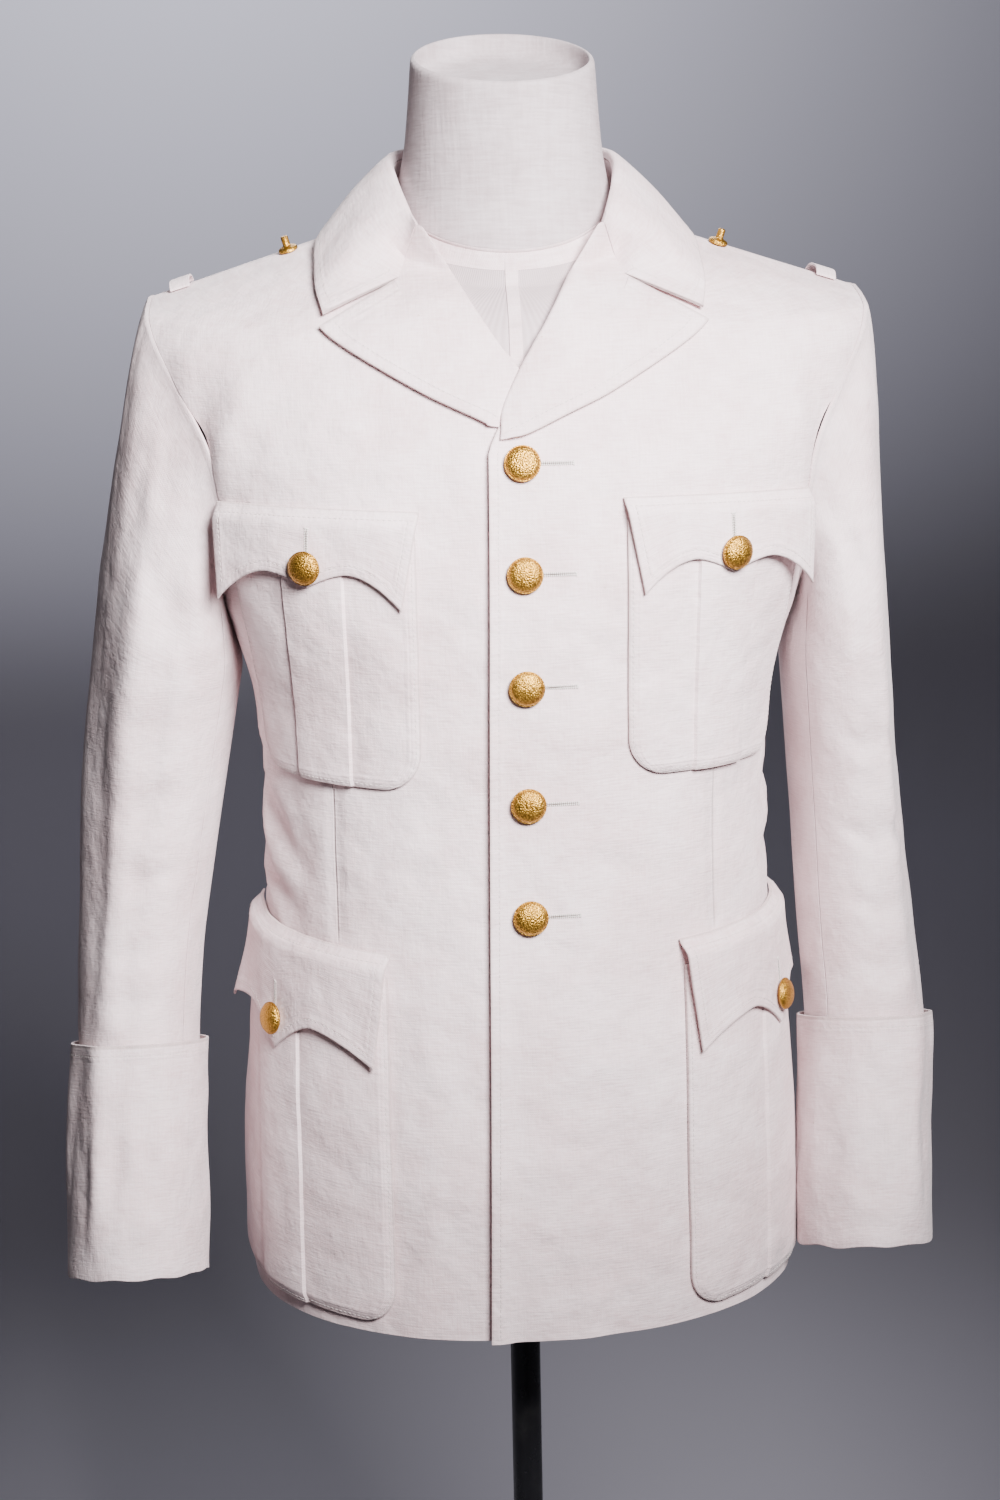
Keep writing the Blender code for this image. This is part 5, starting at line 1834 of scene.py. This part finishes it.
def build_stud(side):
    point, normal = ridge(STUD_ACROSS)
    place = facing(mirrored(point + normal * 0.0006, side), mirrored(normal, side))
    name = "stud_" + WORDS[side]
    spun("gilt_" + name, STUD, 32, GILT, (name,), place, sharp=50)


def build_loop(side):
    """A cloth loop across the shoulder, raised in its middle."""
    columns, rows = 32, 8

    def place(column, row, outside):
        share = 2 * column / columns - 1
        across = LOOP_ACROSS + LOOP_WIDTH * (row / rows - 0.5)
        lift = LAID + 0.0030 * (1 - share ** 4) + (0.0014 if outside else 0.0)
        return mirrored(over_shoulder(across, LOOP_MIDDLE + LOOP_REACH * share, lift), side)

    cloth(
        "tunic_loop_" + WORDS[side], "loop_" + WORDS[side], columns, rows, place,
        lambda column, row: (LOOP_LIES + side + column * 0.0011, row * 0.0015), fold=0.0004,
    )


# The dress form and its stand

FORM_INSET = (
    (0.838, 0.0120),
    (1.000, 0.0100),
    (1.140, 0.0090),
    (1.300, 0.0095),
    (1.400, 0.0070),
    (1.445, 0.0030),
    (1.450, 0.0024),
    (1.492, 0.0024),
)
FORM_SHOULDER_BULGE = 0.010
FORM_ROWS = (
    0.838, 0.885, 0.945, 1.010, 1.080, 1.140, 1.200, 1.262, 1.305, 1.350, 1.395, 1.420, 1.438,
    1.450, 1.455, 1.4625, 1.470, 1.478, 1.485, 1.4905,
)
LAST_ROW = len(FORM_ROWS) - 1

# centre y, centre z, half width, half depth, lean in degrees
NECK = (
    (-0.0020, 1.5065, 0.0632, 0.0690, 30.0),
    (-0.0022, 1.5080, 0.0652, 0.0712, 30.0),
    (-0.0028, 1.5115, 0.0646, 0.0706, 29.5),
    (-0.0055, 1.5320, 0.0605, 0.0660, 27.0),
    (-0.0095, 1.5570, 0.0577, 0.0626, 23.5),
    (-0.0135, 1.5800, 0.0557, 0.0602, 20.5),
    (-0.0142, 1.5850, 0.0550, 0.0594, 20.0),
    (-0.0144, 1.5866, 0.0535, 0.0579, 20.0),
    (-0.0142, 1.5862, 0.0520, 0.0563, 20.0),
    (-0.0132, 1.5770, 0.0505, 0.0548, 20.0),
    (-0.0128, 1.5735, 0.0440, 0.0480, 20.0),
)
FORM_SIDES = 96
FORM_FINE = 3


def form_width(height):
    half_width = section(round(height, 6))[0]
    if ARMPIT < height < SHOULDER:
        shoulder = math.sin(math.pi * (height - ARMPIT) / (SHOULDER - ARMPIT))
        cut = read_table(ARMHOLE, height)[0] + FORM_SHOULDER_BULGE * shoulder
        half_width = min(half_width, cut)
    return half_width


def neck_point(place, angle):
    centre_y, centre_z, half_width, half_depth, lean = smooth_line(NECK, place / (len(NECK) - 1))
    ahead = half_depth * math.cos(angle)
    lean = math.radians(lean)
    return Vector((
        half_width * math.sin(angle),
        centre_y - ahead * math.cos(lean),
        centre_z - ahead * math.sin(lean),
    ))


def torso_point(height, angle):
    inset = read_table(FORM_INSET, height)[0]
    half_width = section(round(height, 6))[0]
    point = ring_point(height, angle) - ring_normal(height, angle) * inset
    limit = (form_width(height) - inset) / (half_width - inset)
    return Vector((point.x * min(1.0, limit), point.y, point.z))


def form_height(place):
    i = min(int(place), LAST_ROW - 1)
    return blend(FORM_ROWS[i], FORM_ROWS[i + 1], place - i)


def form_point(place, angle):
    """A point of the form: place counts the torso's rows from below, and then the neck's."""
    if place <= LAST_ROW:
        return torso_point(form_height(place), angle)
    if place < LAST_ROW + 1:
        return torso_point(FORM_ROWS[-1], angle).lerp(neck_point(0, angle), place - LAST_ROW)
    return neck_point(place - LAST_ROW - 1, angle)


def build_form():
    rows = (len(FORM_ROWS) + len(NECK) - 1) * FORM_FINE
    skin = bmesh.new()
    bmesh.ops.create_grid(skin, x_segments=FORM_SIDES, y_segments=rows, size=0.5)
    flat = skin.loops.layers.uv.new("cloth")
    for face in skin.faces:
        for loop in face.loops:
            loop[flat].uv = (loop.vert.co.x + FORM_LIES, loop.vert.co.y * 0.9)
    for vertex in skin.verts:
        column = round((vertex.co.x + 0.5) * FORM_SIDES) % FORM_SIDES
        row = round((vertex.co.y + 0.5) * rows)
        vertex.co = form_point(row / FORM_FINE, 2 * math.pi * column / FORM_SIDES)
    bmesh.ops.remove_doubles(skin, verts=skin.verts, dist=1e-6)
    bmesh.ops.holes_fill(skin, edges=skin.edges, sides=FORM_SIDES)
    finished("form_body", skin, FORM_COVER, ("form_torso",))


def on_form(place, angle, out):
    """A point of the form, moved out of it."""
    step = 0.01
    point = form_point(place, angle)
    around = form_point(place, angle + step) - form_point(place, angle - step)
    up = form_point(place + step, angle) - form_point(place - step, angle)
    return point + around.cross(up).normalized() * out


def build_front_tape():
    """The pale tape sewn down the middle of the form's front."""
    half_width, columns, rows = 0.0037, 6, 90
    low, high = 8.0, len(FORM_ROWS) + 0.6

    def place(column, row, outside):
        at = blend(low, high, row / rows)
        across = half_width * (2 * column / columns - 1)
        wide = form_point(at, math.pi / 2).x
        power = section(round(form_height(at), 6))[3] / 2 if at < LAST_ROW else 1.0
        angle = math.copysign(math.asin((abs(across) / wide) ** power), across)
        return on_form(at, angle, 0.0008 if outside else 0.0002)

    cloth(
        "form_tape_front", None, columns, rows, place,
        lambda column, row: (TAPE_LIES + column * 0.0015, row * 0.003),
        finish=TAPE, fold=0.0002,
    )


def build_neck_tape():
    """The pale tape sewn round the foot of the form's neck."""
    columns, rows = 120, 14
    low, reach = len(FORM_ROWS) - 0.55, 1.7

    def place(column, row, outside):
        angle = 2 * math.pi * column / columns
        crown = 0.0011 * math.sin(math.pi * row / rows) ** 2
        return on_form(low + reach * (row / rows), angle, 0.0003 + crown if outside else 0.0)

    cloth(
        "form_tape_neck", None, columns, rows, place,
        lambda column, row: (BAND_LIES + column * 0.0035, row * 0.0015),
        finish=TAPE, closed=True, fold=0.0002,
    )


PLATE_RADIUS = 0.045
PLATE_THICKNESS = 0.005
FOOT_HEIGHT = 0.018
METAL_ROUND = 0.0008


def build_stand():
    """The plate that the form stands on, its pole, and the round base."""
    top = HEM + 0.012 - SEAM
    plate = top - PLATE_THICKNESS
    foot = BASE_HEIGHT + FOOT_HEIGHT
    parts = (
        ("stand_top_plate", "stand_plate", 64, round_bar(PLATE_RADIUS, top, plate)),
        ("stand_upright", "stand_pole", 48, round_bar(POLE_RADIUS, plate - SEAM, foot + SEAM)),
        ("stand_foot", "stand_base", 120, (
            (0.0, foot), (0.0165, foot), (0.0180, foot - 0.0006), (0.0205, foot - 0.0020),
            (0.022, foot - 0.004), (0.0235, foot - 0.0090),
            (0.0265, BASE_HEIGHT + 0.0048), (0.030, BASE_HEIGHT + 0.003),
            (BASE_RADIUS - 0.030, BASE_HEIGHT), (BASE_RADIUS - 0.012, BASE_HEIGHT - 0.0014),
            (BASE_RADIUS - 0.004, BASE_HEIGHT - 0.003),
            (BASE_RADIUS - 0.001, BASE_HEIGHT - 0.005),
            (BASE_RADIUS, BASE_HEIGHT - 0.007), (BASE_RADIUS, 0.001),
            (BASE_RADIUS - 0.001, 0.0), (0.0, 0.0),
        )),
    )
    for name, node, steps, profile in parts:
        spun(name, profile, steps, ENAMEL, (node,), sharp=40)


def round_bar(radius, top, bottom):
    """The profile of a round bar or plate whose edges are taken off."""
    return (
        (0.0, top), (radius - METAL_ROUND, top), (radius, top - METAL_ROUND),
        (radius, bottom + METAL_ROUND), (radius - METAL_ROUND, bottom), (0.0, bottom),
    )


# Every piece of cloth: how wide and long it is cut for what shows, its flat area, how it is held,
# what it lies on and what is sewn to it. {} is each of left and right.

SHEETS = (
    ("tunic_front_{}", 0.290, 0.700, 0.1680, "draped", ("form_body",), ("stitching_front_{}",)),
    ("tunic_back_{}", 0.250, 0.700, 0.1560, "draped", ("form_body",), ()),
    (
        "tunic_sleeve_upper_{}", 0.300, 0.600, 0.1420, "hung",
        ("tunic_front_{}", "tunic_back_{}"), (),
    ),
    ("tunic_sleeve_under_{}", 0.078, 0.500, 0.0335, "hung", ("tunic_back_{}",), ()),
    (
        "tunic_cuff_{}", 0.324, 0.142, 0.0455, "folded",
        ("tunic_sleeve_upper_{}",), ("stitching_cuff_{}",),
    ),
    (
        "tunic_lapel_{}", 0.118, 0.150, 0.0085, "folded",
        ("tunic_front_{}",), ("stitching_lapel_{}",),
    ),
    (
        "tunic_collar_fall", 0.470, 0.078, 0.0322, "folded",
        ("tunic_collar_stand",), ("stitching_collar",),
    ),
    (
        "tunic_collar_stand", 0.380, 0.034, 0.0115, "folded",
        ("tunic_back_left", "tunic_back_right"), (),
    ),
    (
        "tunic_pocket_chest_{}", 0.131, 0.153, 0.0198, "laid",
        ("tunic_front_{}",), ("stitching_pocket_chest_{}",),
    ),
    (
        "tunic_pocket_waist_{}", 0.177, 0.219, 0.0385, "laid",
        ("tunic_front_{}",), ("stitching_pocket_waist_{}",),
    ),
    (
        "tunic_flap_chest_{}", 0.130, 0.060, 0.0060, "laid",
        ("tunic_pocket_chest_{}",), ("stitching_flap_chest_{}",),
    ),
    (
        "tunic_flap_waist_{}", 0.165, 0.077, 0.0110, "laid",
        ("tunic_pocket_waist_{}",), ("stitching_flap_waist_{}",),
    ),
    ("tunic_loop_{}", 0.044, 0.013, 0.00057, "laid", ("tunic_front_{}",), ()),
    ("form_tape_front", 0.0100, 0.200, 0.00148, "laid", ("form_body",), ()),
    ("form_tape_neck", 0.430, 0.019, 0.0080, "laid", ("form_body",), ()),
)


def declare_cloth():
    for name, width, length, area, held, under, sewn in SHEETS:
        for word in WORDS.values() if "{}" in name else ("",):
            [each.format(word) for each in under]
            [bpy.data.objects[each.format(word)] for each in sewn]


# Stage and lights

FLOOR_REACH, FLOOR_BACK, FLOOR_BEND, FLOOR_RUN = 9.0, 8.0, 3.6, 26.0


def build_stage():
    """A plain pale floor that curves up into a backdrop."""
    reach, back, bend = FLOOR_REACH, FLOOR_BACK, FLOOR_BEND
    flat_run = reach + back - bend
    floor = bmesh.new()
    bmesh.ops.create_grid(floor, x_segments=8, y_segments=60, size=0.5)
    for vertex in floor.verts:
        x, run = vertex.co.x * 2 * reach, (vertex.co.y + 0.5) * FLOOR_RUN
        if run < flat_run:
            vertex.co = (x, run - reach, 0.0)
        elif run < flat_run + bend * math.pi / 2:
            turn = (run - flat_run) / bend
            vertex.co = (x, back - bend + bend * math.sin(turn), bend - bend * math.cos(turn))
        else:
            vertex.co = (x, back, bend + run - flat_run - bend * math.pi / 2)
    mesh = bpy.data.meshes.new("floor")
    floor.to_mesh(mesh)
    floor.free()
    made = link(bpy.data.objects.new("floor", mesh))
    finish, _, _ = new_material("pale_floor", Roughness=0.9, Base_Color=(*FLOOR_PALE, 1.0))
    mesh.materials.append(finish)
    mesh.shade_smooth()


# name, place, what it faces, width and height, watts, colour, and spread in degrees
LIGHTS = (
    (
        "key_light", (0.36, -1.15, 1.88), (-0.08, 0.0, 1.28),
        (0.56, 0.46), 13.4, (1.0, 0.975, 1.0), 64,
    ),
    (
        "backdrop_light", (-0.8, 4.2, 5.0), (-0.8, 8.0, 4.2),
        (2.4, 1.6), 220, (0.92, 0.93, 1.0), 118,
    ),
    (
        "back_light", (-0.2, 1.9, 2.9), (0.0, 0.0, 1.25),
        (1.2, 0.8), 14, (0.94, 0.95, 1.0), 100,
    ),
)
ROOM_COLOUR, ROOM_STRENGTH = (0.90, 0.84, 0.86, 1.0), 0.060


def soft_light(name, place, target, size, power, colour, spread):
    data = bpy.data.lights.new(name, "AREA")
    data.shape = "RECTANGLE"
    data.size, data.size_y = size
    data.energy = power
    data.color = colour
    data.spread = math.radians(spread)
    lamp = link(bpy.data.objects.new(name, data))
    lamp.location = place
    lamp.rotation_euler = (Vector(target) - Vector(place)).to_track_quat("-Z", "Y").to_euler()


def light_room():
    world = bpy.data.worlds.new("room")
    bpy.context.scene.world = world
    world.use_nodes = True
    background = world.node_tree.nodes["Background"]
    background.inputs["Color"].default_value = ROOM_COLOUR
    background.inputs["Strength"].default_value = ROOM_STRENGTH
    for light in LIGHTS:
        soft_light(*light)


build_stage()
light_room()

for side in (LEFT, RIGHT):
    build_front(side)
    build_back(side)
    build_sleeve(side)
    build_cuff(side)
    build_lapel(side)
    word = WORDS[side]
    build_pocket(CHEST, side, "pocket_chest_" + word)
    build_pocket(WAIST, side, "pocket_waist_" + word)
    build_flap(CHEST_FLAP, side, "flap_chest_" + word)
    build_flap(WAIST_FLAP, side, "flap_waist_" + word)
    build_flap_button(CHEST_FLAP, side, "button_chest_" + word)
    build_flap_button(WAIST_FLAP, side, "button_waist_" + word)
    build_stud(side)
    build_loop(side)
    sew_front(side)
    sew_cuff(side)
    sew_lapel(side)
    sew_pocket(CHEST, side, "pocket_chest_" + word)
    sew_pocket(WAIST, side, "pocket_waist_" + word)
    sew_flap(CHEST_FLAP, side, "flap_chest_" + word)
    sew_flap(WAIST_FLAP, side, "flap_waist_" + word)
build_collar_fall()
sew_collar()
build_collar_stand()
build_front_buttons()
build_buttonholes()
build_form()
build_front_tape()
build_neck_tape()
build_stand()

declare_cloth()
